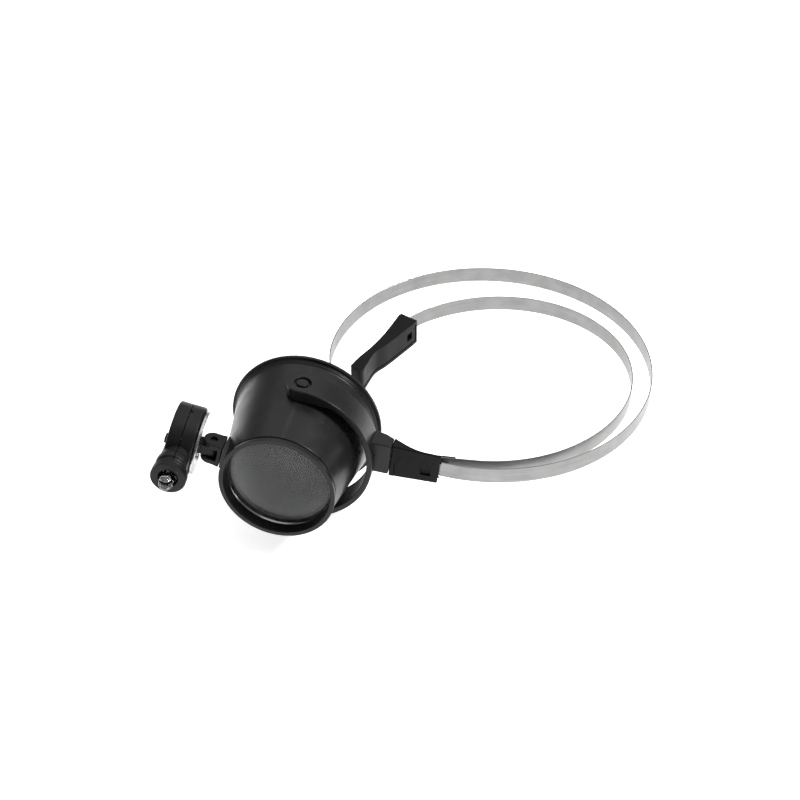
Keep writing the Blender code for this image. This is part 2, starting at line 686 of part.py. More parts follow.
def lamp_half(lamp, name, keep_outer):
    """One half of the lamp's body: a round battery case and a snout, split on the middle plane."""
    half = LAMP_HALF_THICKNESS
    chamfer = 0.6
    disc = [(0, -half), (DISC_RADIUS - chamfer, -half), (DISC_RADIUS, -half + chamfer),
            (DISC_RADIUS, half - chamfer), (DISC_RADIUS - chamfer, half), (0, half)]
    body = turned(name, disc, lamp, lamp_plastic(), (LAMP_X, DISC_Y, 0), (1, 0, 0), 44)
    tip = SNOUT_LENGTH
    collar = SNOUT_RADIUS + 0.6
    snout = [(0, 0), (SNOUT_RADIUS, 0), (SNOUT_RADIUS, tip - 4.8), (collar, tip - 4.0),
             (collar, tip - 1.9), (SNOUT_RADIUS, tip - 1.4), (SNOUT_RADIUS - 0.2, tip), (0, tip)]
    boolean(body, turned(f"guide_{name}_snout", snout, lamp, None, (LAMP_X, 0, 0), (0, -1, 0), 28), "UNION")
    cut(body,
        rod(f"guide_{name}_chamber", CHAMBER_RADIUS, -CHAMBER_HALF_DEPTH, CHAMBER_HALF_DEPTH, lamp, None,
            (LAMP_X, DISC_Y, 0), (1, 0, 0), 32),
        rod(f"guide_{name}_bore", SNOUT_BORE, 0, tip + 2, lamp, None, (LAMP_X, 0, 0), (0, -1, 0)))
    far = 30.0
    split = GAP / 2
    if keep_outer:
        cut(body, block(f"guide_{name}_waste", (LAMP_X - split, -far, -far), (far, far, far), lamp, None))
    else:
        cut(body,
            block(f"guide_{name}_waste", (-far, -far, -far), (LAMP_X + split, far, far), lamp, None),
            block(f"guide_{name}_flat", (LAMP_X + half, -far, -far), (far, far, far), lamp, None))
    return body


def lamp_shell_outer(lamp):
    """Outer half, with the slot for the switch."""
    shell = lamp_half(lamp, "lamp_shell_outer", True)
    length = SWITCH_SLOT_HALF_LENGTH
    cut(shell, block("guide_switch_slot", (LAMP_X - 6, SWITCH_Y - length, -1.4),
                     (LAMP_X - CHAMBER_HALF_DEPTH + 0.5, SWITCH_Y + length, 1.4), lamp, None))


def lamp_shell_inner(lamp):
    """Inner half, with the lug that swings between the bracket's ears."""
    shell = lamp_half(lamp, "lamp_shell_inner", False)
    face = LAMP_X + LAMP_HALF_THICKNESS
    root = face - 0.8
    half = EAR_INNER_Z - GAP
    outline = arc((0, 0), LUG_RADIUS, -90, 90, 12) + [(root, LUG_RADIUS), (root, -LUG_RADIUS)]
    boolean(shell, prism("guide_lug", outline, -half, half, lamp, None), "UNION")
    cut(shell,
        rod("guide_lug_bore", HINGE_PIN_RADIUS + GAP, -6, 6, lamp, None, segments=16),
        rod("guide_plate_screw_bore", 0.8, face - 1.5, face + 3, lamp, None,
            (0, PLATE_SCREW_Y, 0), (1, 0, 0), 12))


def lamp_side_plate(lamp):
    """Bright round plate on the side that faces the cup, notched round the lug."""
    face = LAMP_X + LAMP_HALF_THICKNESS + GAP
    top = face + PLATE_THICKNESS
    profile = [(0, face), (PLATE_RADIUS, face), (PLATE_RADIUS, top), (0, top)]
    plate = turned("lamp_side_plate", profile, lamp, plated_steel(), (0, DISC_Y, 0), (1, 0, 0), 40)
    notch = LUG_RADIUS + GAP
    cut(plate,
        block("guide_plate_notch", (face - 1, -notch, -EAR_INNER_Z), (face + 3, notch, EAR_INNER_Z),
              lamp, None),
        rod("guide_plate_hole", 0.8, face - 2, face + 3, lamp, None, (0, PLATE_SCREW_Y, 0), (1, 0, 0), 12))


def plate_screw(lamp):
    """Screw that holds the plate to the inner shell."""
    under_head = LAMP_X + LAMP_HALF_THICKNESS + PLATE_THICKNESS + 2 * GAP
    profile = [(0, under_head - 2.4), (0.5, under_head - 2.4), (0.5, under_head), (1.3, under_head),
               (1.3, under_head + 0.5), (0, under_head + 0.5)]
    turned("plate_screw", profile, lamp, plated_steel(), (0, PLATE_SCREW_Y, 0), (1, 0, 0), 12)


def lamp_nose_ring(lamp):
    """Collar that closes the snout round the LED."""
    start = SNOUT_LENGTH + GAP
    end = NOSE_LENGTH
    profile = [(SNOUT_BORE, start), (NOSE_RADIUS - 0.3, start), (NOSE_RADIUS, start + 0.3),
               (NOSE_RADIUS, end - 0.4), (NOSE_RADIUS - 0.4, end),
               (SNOUT_BORE + 0.2, end), (SNOUT_BORE, end - 0.2)]
    turned("lamp_nose_ring", profile, lamp, lamp_plastic(), (LAMP_X, 0, 0), (0, -1, 0), 36)


def led(lamp):
    """Clear LED with its flange, standing proud of the collar."""
    profile = [(0, LED_BASE), (LED_FLANGE_RADIUS, LED_BASE), (LED_FLANGE_RADIUS, LED_BASE + 1.0),
               (LED_RADIUS, LED_BASE + 1.0)]
    profile += [(LED_RADIUS * math.cos(turn), LED_SHOULDER + LED_RADIUS * math.sin(turn))
                for turn in (math.radians(22.5 * step) for step in range(4))]
    profile.append((0, LED_SHOULDER + LED_RADIUS))
    turned("led_bulb", profile, lamp, clear_resin(), (LAMP_X, 0, 0), (0, -1, 0), 24)


def led_leads(lamp):
    """Two leads from the LED, spread to straddle the cells."""
    beside_cells = GAP / 2 + CELL_THICKNESS + GAP + LEAD_THICKNESS / 2
    start = GAP - LED_BASE
    for sign, label, end in ((-1, "long", -2.5), (1, "short", -5.5)):
        near = LAMP_X + sign * LEAD_SPREAD
        far = LAMP_X + sign * beside_cells
        corners = ((near, start), (near, start + 2.0), (far, start + 4.5), (far, end))
        path = [Vector(corner) for corner in corners]
        prism(f"led_lead_{label}", ribbon(path, LEAD_THICKNESS / 2), -0.25, 0.25, lamp, plated_steel())


def battery(lamp):
    """Two coin cells with a spring contact and a flat contact outside the leads."""
    middle = GAP / 2
    contact = middle + CELL_THICKNESS + 2 * GAP + LEAD_THICKNESS
    for sign, label in ((-1, "outer"), (1, "inner")):
        low = middle
        high = middle + CELL_THICKNESS
        profile = [(0, low), (CELL_RADIUS - 1.2, low), (CELL_RADIUS, low + 0.4), (CELL_RADIUS, high - 0.2),
                   (CELL_RADIUS - 0.2, high), (0, high)]
        turned(f"button_cell_{label}", profile, lamp, plated_steel(), (LAMP_X, DISC_Y, 0), (sign, 0, 0), 32)
    rod("contact_plate", 5.0, contact, contact + 0.2, lamp, plated_steel(),
        (LAMP_X, DISC_Y, 0), (1, 0, 0), 24)
    dish = [(0, contact + 0.2), (0, contact), (2.0, contact), (4.5, contact + 0.3), (4.5, contact + 0.5),
            (2.0, contact + 0.2)]
    turned("contact_spring", dish, lamp, plated_steel(), (LAMP_X, DISC_Y, 0), (-1, 0, 0), 24)


def switch_slider(lamp):
    """Small sliding nub on the lamp's outer side."""
    outer = LAMP_X - LAMP_HALF_THICKNESS - 1.5
    inner = LAMP_X - CHAMBER_HALF_DEPTH - GAP
    y = SWITCH_Y - 1.0
    slider = block("switch_slider", (outer, y - 1.5, -1.1), (inner, y + 1.5, 1.1), lamp, lamp_plastic())
    soften(slider, 0.25, 2)


# ---------------------------------------------------------------- assembly

def build():
    clear_scene()
    hoops = empty("hoops")
    arm = empty("arm", hoops, ARM_ORIGIN, (0, 0, ARM_TURN))
    flip = empty("flip", arm, (SEAM_X, FLIP_AXIS_Y, 0), (CUP_PITCH, SEAM_LEAN, 0))
    pivot = empty("pivot", flip, PIVOT_FROM_SEAM)
    side = empty("lamp_side", pivot, turn=(0, LAMP_SIDE_TURN, 0))
    lamp = empty("lamp", side, LAMP_HINGE, (0, 0, LAMP_TURN))
    inner = empty("inner_hoop", arm, (RIVET_X, 0, 0))

    shell = eyecup_shell(pivot)
    bracket_pad(side, shell)
    lens(pivot)
    lens_retaining_ring(pivot)
    pivot_pins(pivot)
    yoke(pivot)
    flip_screw(flip)
    friction_washer(flip)

    front_arm(arm, hoops, flip)
    outer_band(hoops)
    end_pad("outer_end_pad", OUTER_PAD, OUTER_HOOP, hoops)
    inner_arm(inner)
    band_rivet(inner)
    strip_rivet(inner)
    inner_band(inner, hoops)
    end_pad("inner_end_pad", INNER_PAD, INNER_HOOP, hoops)

    lamp_bracket(side)
    bracket_screw(side)
    lamp_hinge_pin(side)
    lamp_shell_outer(lamp)
    lamp_shell_inner(lamp)
    lamp_side_plate(lamp)
    plate_screw(lamp)
    lamp_nose_ring(lamp)
    led(lamp)
    led_leads(lamp)
    battery(lamp)
    switch_slider(lamp)


build()
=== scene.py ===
"""Looks for the head-worn eye loupe: finely rounded mouldings, brushed strips, lens and lamp.

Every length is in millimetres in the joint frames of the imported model; MM turns it into metres.
"""
import json
import math

import bmesh
import bpy
from mathutils import Matrix, Vector


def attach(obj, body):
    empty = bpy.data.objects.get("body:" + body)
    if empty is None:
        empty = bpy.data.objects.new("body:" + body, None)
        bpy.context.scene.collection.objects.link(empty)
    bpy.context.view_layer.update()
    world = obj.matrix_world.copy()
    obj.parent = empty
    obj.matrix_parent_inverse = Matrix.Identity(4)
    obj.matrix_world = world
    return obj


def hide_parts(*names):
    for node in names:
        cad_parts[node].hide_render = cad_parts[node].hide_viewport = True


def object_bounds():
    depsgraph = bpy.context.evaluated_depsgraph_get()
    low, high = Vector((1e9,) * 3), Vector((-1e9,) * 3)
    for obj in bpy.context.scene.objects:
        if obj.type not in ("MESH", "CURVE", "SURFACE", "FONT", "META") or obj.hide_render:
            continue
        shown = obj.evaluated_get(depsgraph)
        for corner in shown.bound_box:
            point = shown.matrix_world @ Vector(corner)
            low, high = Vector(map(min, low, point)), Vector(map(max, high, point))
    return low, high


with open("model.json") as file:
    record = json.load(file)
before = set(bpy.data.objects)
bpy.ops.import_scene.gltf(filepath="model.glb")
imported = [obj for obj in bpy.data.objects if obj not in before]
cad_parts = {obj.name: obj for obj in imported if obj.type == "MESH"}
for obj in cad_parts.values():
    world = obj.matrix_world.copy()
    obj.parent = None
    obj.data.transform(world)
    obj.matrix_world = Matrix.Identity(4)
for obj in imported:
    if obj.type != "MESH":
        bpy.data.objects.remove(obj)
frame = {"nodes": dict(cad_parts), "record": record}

MM = 0.001
GAP = 0.3
TINY = 1e-6
NEARLY_STRAIGHT = 0.2
CAD_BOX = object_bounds()

# camera and room, in metres and degrees
CAMERA_PLACE = (-0.0333, -0.4274, 0.3373)
CAMERA_TURN = (50.96, 0.29, 0.0)
CAMERA_LENS = 67.5
CAMERA_NEAR = 0.01
FLOOR_DROP = 0.0006
FLOOR_GLOW = 0.75
FLOOR_RADIUS = 3.0
SKY_BRIGHT_SIDE = (0.1, 0.55, 0.83)
SKY_SPAN = (-0.7, 0.8)
SKY_LEVELS = (0.02, 0.4)
# name, place, what it is aimed at, size and watts
LIGHTS = (
    ("overhead", (-0.05, 0.3, 0.9), (-0.03, 0.0, 0.0), 1.6, 5.0),
    ("key", (0.42, -0.1, 0.55), (-0.05, -0.03, 0.0), 0.2, 6.5),
    ("side", (-0.7, 0.0, 0.3), (-0.08, -0.04, 0.0), 0.4, 0.2),
)

# eyecup, counted from the rim at the eye
CUP_LENGTH = 40.1
PIVOT_STATION = 15.3
RIM_RADIUS = 27.0
STEP_RADIUS = 25.9
CONE_START = 2.9
CONE_END = 37.3
CONE_BIG_RADIUS = 25.2
CONE_SMALL_RADIUS = 19.6
CUP_WALL = 1.7
LENS_LEDGE = 33.0
LENS_LEDGE_RADIUS = 17.2
LENS_SEAT_RADIUS = 18.4
LENS_RADIUS = 18.1
LENS_BACK_EDGE = 33.3
LENS_FRONT_EDGE = 36.2
LENS_CROWN = 2.2
LENS_STEPS = 20
RING_RADIUS = 20.0
RING_OPENING = 17.85
RING_LIP = 1.3
RING_LIP_RADIUS = 18.5

# yoke
YOKE_RADIUS = 27.1
YOKE_PLATE = 2.0
YOKE_OFFSET = 0.97
YOKE_HALF_WIDTH = 5.4
YOKE_END_CLEARANCE = 0.45
YOKE_STEPS = 140
PIN_HEAD_RADIUS = 2.0
PIN_SHANK_RADIUS = 1.2
COUNTERBORE_RADIUS = 2.95
HUB_HALF_HEIGHT = 6.1
HUB_CENTRE_Z = 4.0
HUB_FACE = 33.15
FLIP_LINE_Y = 0.4
FLIP_SHANK_RADIUS = 0.95
FLIP_HEAD_RADIUS = 2.5

# front arm
SEAM_X = 33.5
SEAM_LEAN = 7.0
ARM_END_X = 50.7
ARM_FRONT_Y = (-3.9, -5.2)
ARM_HALF_HEIGHT = (6.8, 6.2)
ARM_PANEL_DEPTH = 0.35
ARM_PANEL_TOP = 2.8
ARM_WINDOW_X = (44.0, 47.6)
ARM_WINDOW_Z = (-3.7, -0.6)
ARM_WINDOW_FLOOR = -3.75
ARM_CORE_HALF_HEIGHT = (4.1, 3.6)
RIVET_X = 43.0
RIVET_SHANK_RADIUS = 0.95
RIVET_HEAD_RADIUS = 2.0
RIVET_DISC_RADIUS = 2.8

# steel strips
STRIP_WIDTH = 6.1
STRIP_THICKNESS = 0.4
OUTER_HOOP = {
    "centre": (-2.2, 7.8), "radius": 59.3, "oval": 0.7, "phase": 110.0, "start": 251.2, "end": 172.0,
    "lead_in": 3.2, "tail_radius": 40.0, "tail_turn": 20.0, "tail_straight": 7.9,
}
INNER_HOOP = {
    "centre": (0.0, 0.0), "radius": 48.5, "oval": 1.5, "phase": 35.0, "start": 258.0, "end": 122.0,
    "lead_in": 12.8, "tail_radius": 32.0, "tail_turn": 20.0, "tail_straight": 6.0,
}
SWEEP_STEPS = 224
TAIL_STEPS = 12
STRIP_POINTS_IN_ARM = 24
STRIP_POINTS_IN_PAD = 8
STRIP_RIVET_X = 9.0
STRIP_HOLE_RADIUS = 1.0

# end pads
PAD_HALF_HEIGHT = 5.0
DRAWN_PAD_LENGTH = 36.0
OUTER_PAD = {"place": (-58.9, -0.9, 0.0), "heading": 281.0, "length": 14.4}
INNER_PAD = {"place": (-31.4, 32.2, 0.0), "heading": 234.0, "length": 37.0}

# lamp hinge and lamp
LAMP_SIDE_TURN = 7.2
LAMP_HINGE = (-25.4, -15.6, 0.0)
BRACKET_HALF_LENGTH = 3.6
BRACKET_PAD_X = -21.3
BRACKET_SCREW_Y = -13.8
EAR_RADIUS = 3.4
EAR_OUTER_Z = 4.2
EAR_INNER_Z = 2.2
LUG_RADIUS = 2.2
HINGE_PIN_RADIUS = 1.0
LAMP_X = -9.9
LAMP_HALF_THICKNESS = 4.65
DISC_Y = 0.95
DISC_RADIUS = 11.9
SNOUT_RADIUS = 5.2
SNOUT_BORE = 3.3
SNOUT_LENGTH = 17.3
NOSE_RADIUS = 6.0
NOSE_LENGTH = 20.6
PLATE_RADIUS = 11.0
PLATE_THICKNESS = 1.0
PLATE_SCREW_Y = -6.5
LED_RADIUS = 2.5
LED_FLANGE_RADIUS = 2.9
LED_BASE = 16.3
LED_SHOULDER = 22.8
LED_DOME_END = 84
LED_DOME_STEPS = 14
LEAD_SPREAD = 1.27
CHAMBER_RADIUS = 10.5
CHAMBER_HALF_DEPTH = 3.4
SWITCH_Y = -0.5
SWITCH_SLOT_HALF_LENGTH = 2.8

# degrees between two faces above which their edge is shaded sharp
SHARP_ANGLE = 32.0

# cutters and joined shapes, removed once the piece they shape is finished
HELPERS = []


# ---------------------------------------------------------------- frames

def joint(name):
    return next(item for item in frame["record"]["behaviour"]["joints"] if item["name"] == name)


def axes_at(place, x, y, z):
    """A frame's matrix from its origin in metres and its three axes."""
    columns = [Vector(axis).normalized() for axis in (x, y, z)]
    matrix = Matrix([[column[row] for column in columns] for row in range(3)]).to_4x4()
    matrix.translation = Vector(place)
    return matrix


def joint_frames():
    """The frames that the pieces are drawn in, all worked out from the joints."""
    up = Vector((0, 0, 1))
    flip_x = Vector(joint("flip")["axis"])
    pivot_z = Vector(joint("cup_pivot")["axis"])
    pivot_y = pivot_z.cross(flip_x)
    lamp_z = Vector(joint("lamp_hinge")["axis"])
    lamp_y = Vector(joint("switch_slide")["axis"])
    arm_y = Vector(joint("hoop_spread")["axis"])
    arm_x = arm_y.cross(up)
    rivet = Vector(joint("hoop_spread")["pos_m"])
    pivot = axes_at(joint("cup_pivot")["pos_m"], flip_x, pivot_y, pivot_z)
    return {
        "hoops": Matrix.Identity(4),
        "flip": axes_at(joint("flip")["pos_m"], flip_x, pivot_y, pivot_z),
        "pivot": pivot,
        "side": pivot @ Matrix.Rotation(math.radians(LAMP_SIDE_TURN), 4, "Y"),
        "lamp": axes_at(joint("lamp_hinge")["pos_m"], lamp_y.cross(lamp_z), lamp_y, lamp_z),
        "rivet": axes_at(rivet, arm_x, arm_y, up),
        "arm": axes_at(rivet - arm_x * RIVET_X * MM, arm_x, arm_y, up),
    }


FRAMES = joint_frames()


# ---------------------------------------------------------------- materials

def new_material(name, colour, roughness, metallic=0.0):
    """A Principled material and its shader node."""
    made = bpy.data.materials.new(name)
    made.use_nodes = True
    shader = made.node_tree.nodes["Principled BSDF"]
    shader.inputs["Base Color"].default_value = (*colour, 1.0)
    shader.inputs["Roughness"].default_value = roughness
    shader.inputs["Metallic"].default_value = metallic
    return made, shader


def node(made, kind):
    return made.node_tree.nodes.new(kind)


def link(made, source, target):
    made.node_tree.links.new(source, target)


def noise(made, scale, detail=3.0, stretch=(1.0, 1.0, 1.0)):
    """Noise in the object's own space; scale is cycles per metre, stretch squeezes it along an axis."""
    place = node(made, "ShaderNodeTexCoord")
    mapping = node(made, "ShaderNodeMapping")
    mapping.inputs["Scale"].default_value = stretch
    texture = node(made, "ShaderNodeTexNoise")
    texture.inputs["Scale"].default_value = scale
    texture.inputs["Detail"].default_value = detail
    link(made, place.outputs["Object"], mapping.inputs["Vector"])
    link(made, mapping.outputs["Vector"], texture.inputs["Vector"])
    return texture.outputs["Fac"]


def spread(made, source, low, high, start=0.3, end=0.7):
    """Map a 0 to 1 pattern onto a range."""
    ranged = node(made, "ShaderNodeMapRange")
    ranged.inputs["From Min"].default_value = start
    ranged.inputs["From Max"].default_value = end
    ranged.inputs["To Min"].default_value = low
    ranged.inputs["To Max"].default_value = high
    link(made, source, ranged.inputs["Value"])
    return ranged.outputs["Result"]


def tint(made, share, dark, light):
    """Blend two colours by a pattern."""
    blended = node(made, "ShaderNodeMix")
    blended.data_type = "RGBA"
    blended.inputs["A"].default_value = (*dark, 1.0)
    blended.inputs["B"].default_value = (*light, 1.0)
    link(made, share, blended.inputs["Factor"])
    return blended.outputs["Result"]


def relief(made, shader, pattern, depth, strength=1.0):
    """Fine surface relief; depth is in metres."""
    bump = node(made, "ShaderNodeBump")
    bump.inputs["Distance"].default_value = depth
    bump.inputs["Strength"].default_value = strength
    link(made, pattern, bump.inputs["Height"])
    link(made, bump.outputs["Normal"], shader.inputs["Normal"])


def worn_edges(made, body, edge_colour, amount):
    """Lighten a colour where the surface turns sharply outwards, as handling does."""
    geometry = node(made, "ShaderNodeNewGeometry")
    edge = spread(made, geometry.outputs["Pointiness"], 0.0, amount, 0.53, 0.62)
    patchy = spread(made, noise(made, 700.0), 0.35, 1.0)
    product = node(made, "ShaderNodeMath")
    product.operation = "MULTIPLY"
    link(made, edge, product.inputs[0])
    link(made, patchy, product.inputs[1])
    blended = node(made, "ShaderNodeMix")
    blended.data_type = "RGBA"
    blended.inputs["B"].default_value = (*edge_colour, 1.0)
    link(made, product.outputs["Value"], blended.inputs["Factor"])
    link(made, body, blended.inputs["A"])
    return blended.outputs["Result"]


def moulded_plastic(name, dark, light, roughness, grain, depth, specular):
    """Black moulded plastic: cloudy colour, fine grain, uneven gloss and rubbed edges."""
    made, shader = new_material(name, dark, roughness)
    clouds = noise(made, 90.0, 4.0)
    body = tint(made, spread(made, clouds, 0.0, 1.0), dark, light)
    body = worn_edges(made, body, tuple(min(value * 2.6, 1.0) for value in light), 0.55)
    link(made, body, shader.inputs["Base Color"])
    smears = noise(made, 240.0, 5.0, (1.0, 1.0, 0.4))
    link(made, spread(made, smears, roughness - 0.05, roughness + 0.07), shader.inputs["Roughness"])
    relief(made, shader, noise(made, grain, 2.0), depth)
    shader.inputs["Specular IOR Level"].default_value = specular
    return made


def brushed_steel(name, dark, light, roughness, along):
    """Rolled strip: fine lines along its length, soft blotches and a little grain."""
    made, shader = new_material(name, light, roughness, 1.0)
    lines = noise(made, 60.0, 6.0, along)
    blotches = noise(made, 160.0, 4.0)
    both = node(made, "ShaderNodeMath")
    both.operation = "ADD"
    link(made, spread(made, lines, 0.0, 0.6), both.inputs[0])
    link(made, spread(made, blotches, 0.0, 0.4), both.inputs[1])
    link(made, tint(made, both.outputs["Value"], dark, light), shader.inputs["Base Color"])
    link(made, spread(made, lines, roughness - 0.06, roughness + 0.1), shader.inputs["Roughness"])
    relief(made, shader, lines, 0.00002, 0.6)
    shader.inputs["Anisotropic"].default_value = 0.4
    return made


def plated_metal(name, colour, roughness):
    """Bright plating with faint scratches and a slightly cloudy gloss."""
    made, shader = new_material(name, colour, roughness, 1.0)
    clouds = noise(made, 400.0, 4.0)
    dark = tuple(value * 0.82 for value in colour)
    link(made, tint(made, spread(made, clouds, 0.0, 1.0), dark, colour), shader.inputs["Base Color"])
    scratches = noise(made, 500.0, 6.0, (1.0, 9.0, 1.0))
    link(made, spread(made, scratches, roughness - 0.06, roughness + 0.12), shader.inputs["Roughness"])
    relief(made, shader, scratches, 0.00001, 0.5)
    return made


def clear_plastic(name, colour, roughness, transmission, index, haze):
    """Clear moulding: a faint haze in the colour, an even skin and very slight ripples."""
    made, shader = new_material(name, colour, roughness)
    dimmer = tuple(value * haze for value in colour)
    cloud = spread(made, noise(made, 220.0, 3.0), 0.0, 1.0)
    link(made, tint(made, cloud, dimmer, colour), shader.inputs["Base Color"])
    skin = spread(made, noise(made, 60.0, 1.0), roughness, roughness + 0.01)
    link(made, skin, shader.inputs["Roughness"])
    relief(made, shader, noise(made, 90.0, 0.0), 0.00001, 0.05)
    shader.inputs["Transmission Weight"].default_value = transmission
    shader.inputs["Specular IOR Level"].default_value = 0.3
    shader.inputs["IOR"].default_value = index
    return made


LOOKS = {
    "cup": moulded_plastic("cup_plastic", dark=(0.0060, 0.0060, 0.0061), light=(0.0088, 0.0087, 0.0087),
                           roughness=0.31, grain=5200.0, depth=0.000012, specular=0.24),
    "arm": moulded_plastic("arm_plastic", dark=(0.0040, 0.0039, 0.0037), light=(0.0070, 0.0067, 0.0064),
                           roughness=0.42, grain=3200.0, depth=0.00002, specular=0.08),
    "lamp": moulded_plastic("lamp_plastic", dark=(0.0036, 0.0034, 0.0032), light=(0.0062, 0.0059, 0.0056),
                            roughness=0.42, grain=3600.0, depth=0.00002, specular=0.2),
    "strip": brushed_steel("strip_steel", dark=(0.165, 0.164, 0.163), light=(0.28, 0.278, 0.276),
                           roughness=0.36, along=(1.0, 1.0, 60.0)),
    "plated": plated_metal("plated_steel", colour=(0.50, 0.50, 0.495), roughness=0.2),
    "lens": clear_plastic("lens_acrylic", colour=(0.37, 0.372, 0.382), roughness=0.16, transmission=0.95,
                          index=1.3, haze=0.92),
    "led": clear_plastic("led_resin", colour=(0.90, 0.91, 0.93), roughness=0.03, transmission=1.0,
                         index=1.52, haze=0.95),
}


# ---------------------------------------------------------------- drawing

def mix(low, high, share):
    return low + (high - low) * min(max(share, 0.0), 1.0)


def rounded(points, width, steps=3):
    """Round a closed outline's corners; width is how far along each edge a corner reaches."""
    shaped = []
    count = len(points)
    for index, corner in enumerate(points):
        here = Vector(corner)
        before = Vector(points[index - 1]) - here
        after = Vector(points[(index + 1) % count]) - here
        on_axis = abs(corner[0]) < TINY
        too_short = min(before.length, after.length) < TINY
        if on_axis or too_short or abs(before.angle(after) - math.pi) < NEARLY_STRAIGHT:
            shaped.append(tuple(corner))
            continue
        start = here + before.normalized() * min(width, before.length * 0.45)
        end = here + after.normalized() * min(width, after.length * 0.45)
        for step in range(steps + 1):
            share = step / steps
            point = (1 - share) ** 2 * start + 2 * share * (1 - share) * here + share ** 2 * end
            shaped.append(tuple(point))
    return shaped


def solid(name, mesh_data, where):
    """Turn a bmesh drawn in millimetres in one of the frames into an object."""
    bmesh.ops.remove_doubles(mesh_data, verts=mesh_data.verts, dist=1e-4)
    bmesh.ops.scale(mesh_data, vec=(MM, MM, MM), verts=mesh_data.verts)
    bmesh.ops.recalc_face_normals(mesh_data, faces=mesh_data.faces)
    mesh = bpy.data.meshes.new(name)
    mesh_data.to_mesh(mesh)
    mesh_data.free()
    made = bpy.data.objects.new(name, mesh)
    bpy.context.scene.collection.objects.link(made)
    made.matrix_world = FRAMES[where]
    return made


def turned(name, profile, where, origin=(0.0, 0.0, 0.0), axis=(0.0, 0.0, 1.0), segments=64, round_by=0.0):
    """Revolve a closed profile of (radius, height) about an axis through origin."""
    if round_by:
        profile = rounded(profile, round_by)
    mesh_data = bmesh.new()
    swing = Vector((0, 0, 1)).rotation_difference(Vector(axis)).to_matrix().to_4x4()
    place = Matrix.Translation(origin) @ swing
    rings = []
    for radius, height in profile:
        if radius < TINY:
            rings.append([mesh_data.verts.new(place @ Vector((0, 0, height)))])
            continue
        ring = []
        for step in range(segments):
            angle = math.tau * step / segments
            point = Vector((radius * math.cos(angle), radius * math.sin(angle), height))
            ring.append(mesh_data.verts.new(place @ point))
        rings.append(ring)
    for first, second in zip(rings, rings[1:] + rings[:1]):
        join_rings(mesh_data, first, second)
    return solid(name, mesh_data, where)


def join_rings(mesh_data, first, second):
    """Faces between two rings of points, either of which may be a single point."""
    if len(first) == 1 and len(second) == 1:
        return
    count = max(len(first), len(second))
    for step in range(count):
        after = (step + 1) % count
        if len(first) == 1:
            corners = (first[0], second[step], second[after])
        elif len(second) == 1:
            corners = (first[step], first[after], second[0])
        else:
            corners = (first[step], first[after], second[after], second[step])
        mesh_data.faces.new(corners)


def rod(name, radius, low, high, where, origin=(0.0, 0.0, 0.0), axis=(0.0, 0.0, 1.0), segments=48):
    return turned(name, [(0, low), (radius, low), (radius, high), (0, high)], where, origin, axis, segments)


AXIS_ORDER = {
    "x": lambda a, b, h: (h, a, b),
    "y": lambda a, b, h: (a, h, b),
    "z": lambda a, b, h: (a, b, h),
}


def prism(name, outline, low, high, where, axis="z", warp=None):
    """Extrude a closed outline along one axis; warp may move each finished point."""
    mesh_data = bmesh.new()
    order = AXIS_ORDER[axis]
    bottom = [mesh_data.verts.new(order(a, b, low)) for a, b in outline]
    top = [mesh_data.verts.new(order(a, b, high)) for a, b in outline]
    mesh_data.faces.new(bottom)
    mesh_data.faces.new(top)
    for index in range(len(outline)):
        after = (index + 1) % len(outline)
        mesh_data.faces.new((bottom[index], bottom[after], top[after], top[index]))
    if warp:
        for vertex in mesh_data.verts:
            vertex.co = warp(*vertex.co)
    return solid(name, mesh_data, where)


def block(name, low, high, where):
    outline = [(low[0], low[1]), (high[0], low[1]), (high[0], high[1]), (low[0], high[1])]
    return prism(name, outline, low[2], high[2], where)


def boolean(target, other, operation):
    modifier = target.modifiers.new(operation.lower(), "BOOLEAN")
    modifier.operation = operation
    modifier.solver = "EXACT"
    modifier.object = other
    HELPERS.append(other)


def join(target, *others):
    for other in others:
        boolean(target, other, "UNION")


def cut(target, *cutters):
    for cutter in cutters:
        boolean(target, cutter, "DIFFERENCE")


def soften(target, width, segments=3, angle=35.0):
    """Round the sharp edges of a moulding."""
    modifier = target.modifiers.new("soften", "BEVEL")
    modifier.width = width * MM
    modifier.segments = segments
    modifier.limit_method = "ANGLE"
    modifier.angle_limit = math.radians(angle)
    modifier.use_clamp_overlap = True
    return target


def settle(piece, look, body, *replaced):
    """Apply the modifiers, drop the helpers, and hand the piece to the frame."""
    bpy.context.view_layer.update()
    evaluated = piece.evaluated_get(bpy.context.evaluated_depsgraph_get())
    mesh = bpy.data.meshes.new_from_object(evaluated)
    piece.modifiers.clear()
    mesh.transform(piece.matrix_world)
    piece.data = mesh
    piece.matrix_world = Matrix.Identity(4)
    while HELPERS:
        bpy.data.objects.remove(HELPERS.pop(), do_unlink=True)
    mesh.materials.clear()
    mesh.materials.append(LOOKS[look])
    mesh.polygons.foreach_set("material_index", [0] * len(mesh.polygons))
    mesh.shade_smooth()
    mesh.set_sharp_from_angle(angle=math.radians(SHARP_ANGLE))
    weighted = piece.modifiers.new("even_shading", "WEIGHTED_NORMAL")
    weighted.keep_sharp = True
    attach(piece, body)
    if replaced:
        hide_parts(*replaced)
    return piece


def arc(centre, radius, start, end, steps):
    points = []
    for step in range(steps + 1):
        angle = math.radians(start + (end - start) * step / steps)
        points.append((centre[0] + radius * math.cos(angle), centre[1] + radius * math.sin(angle)))
    return points


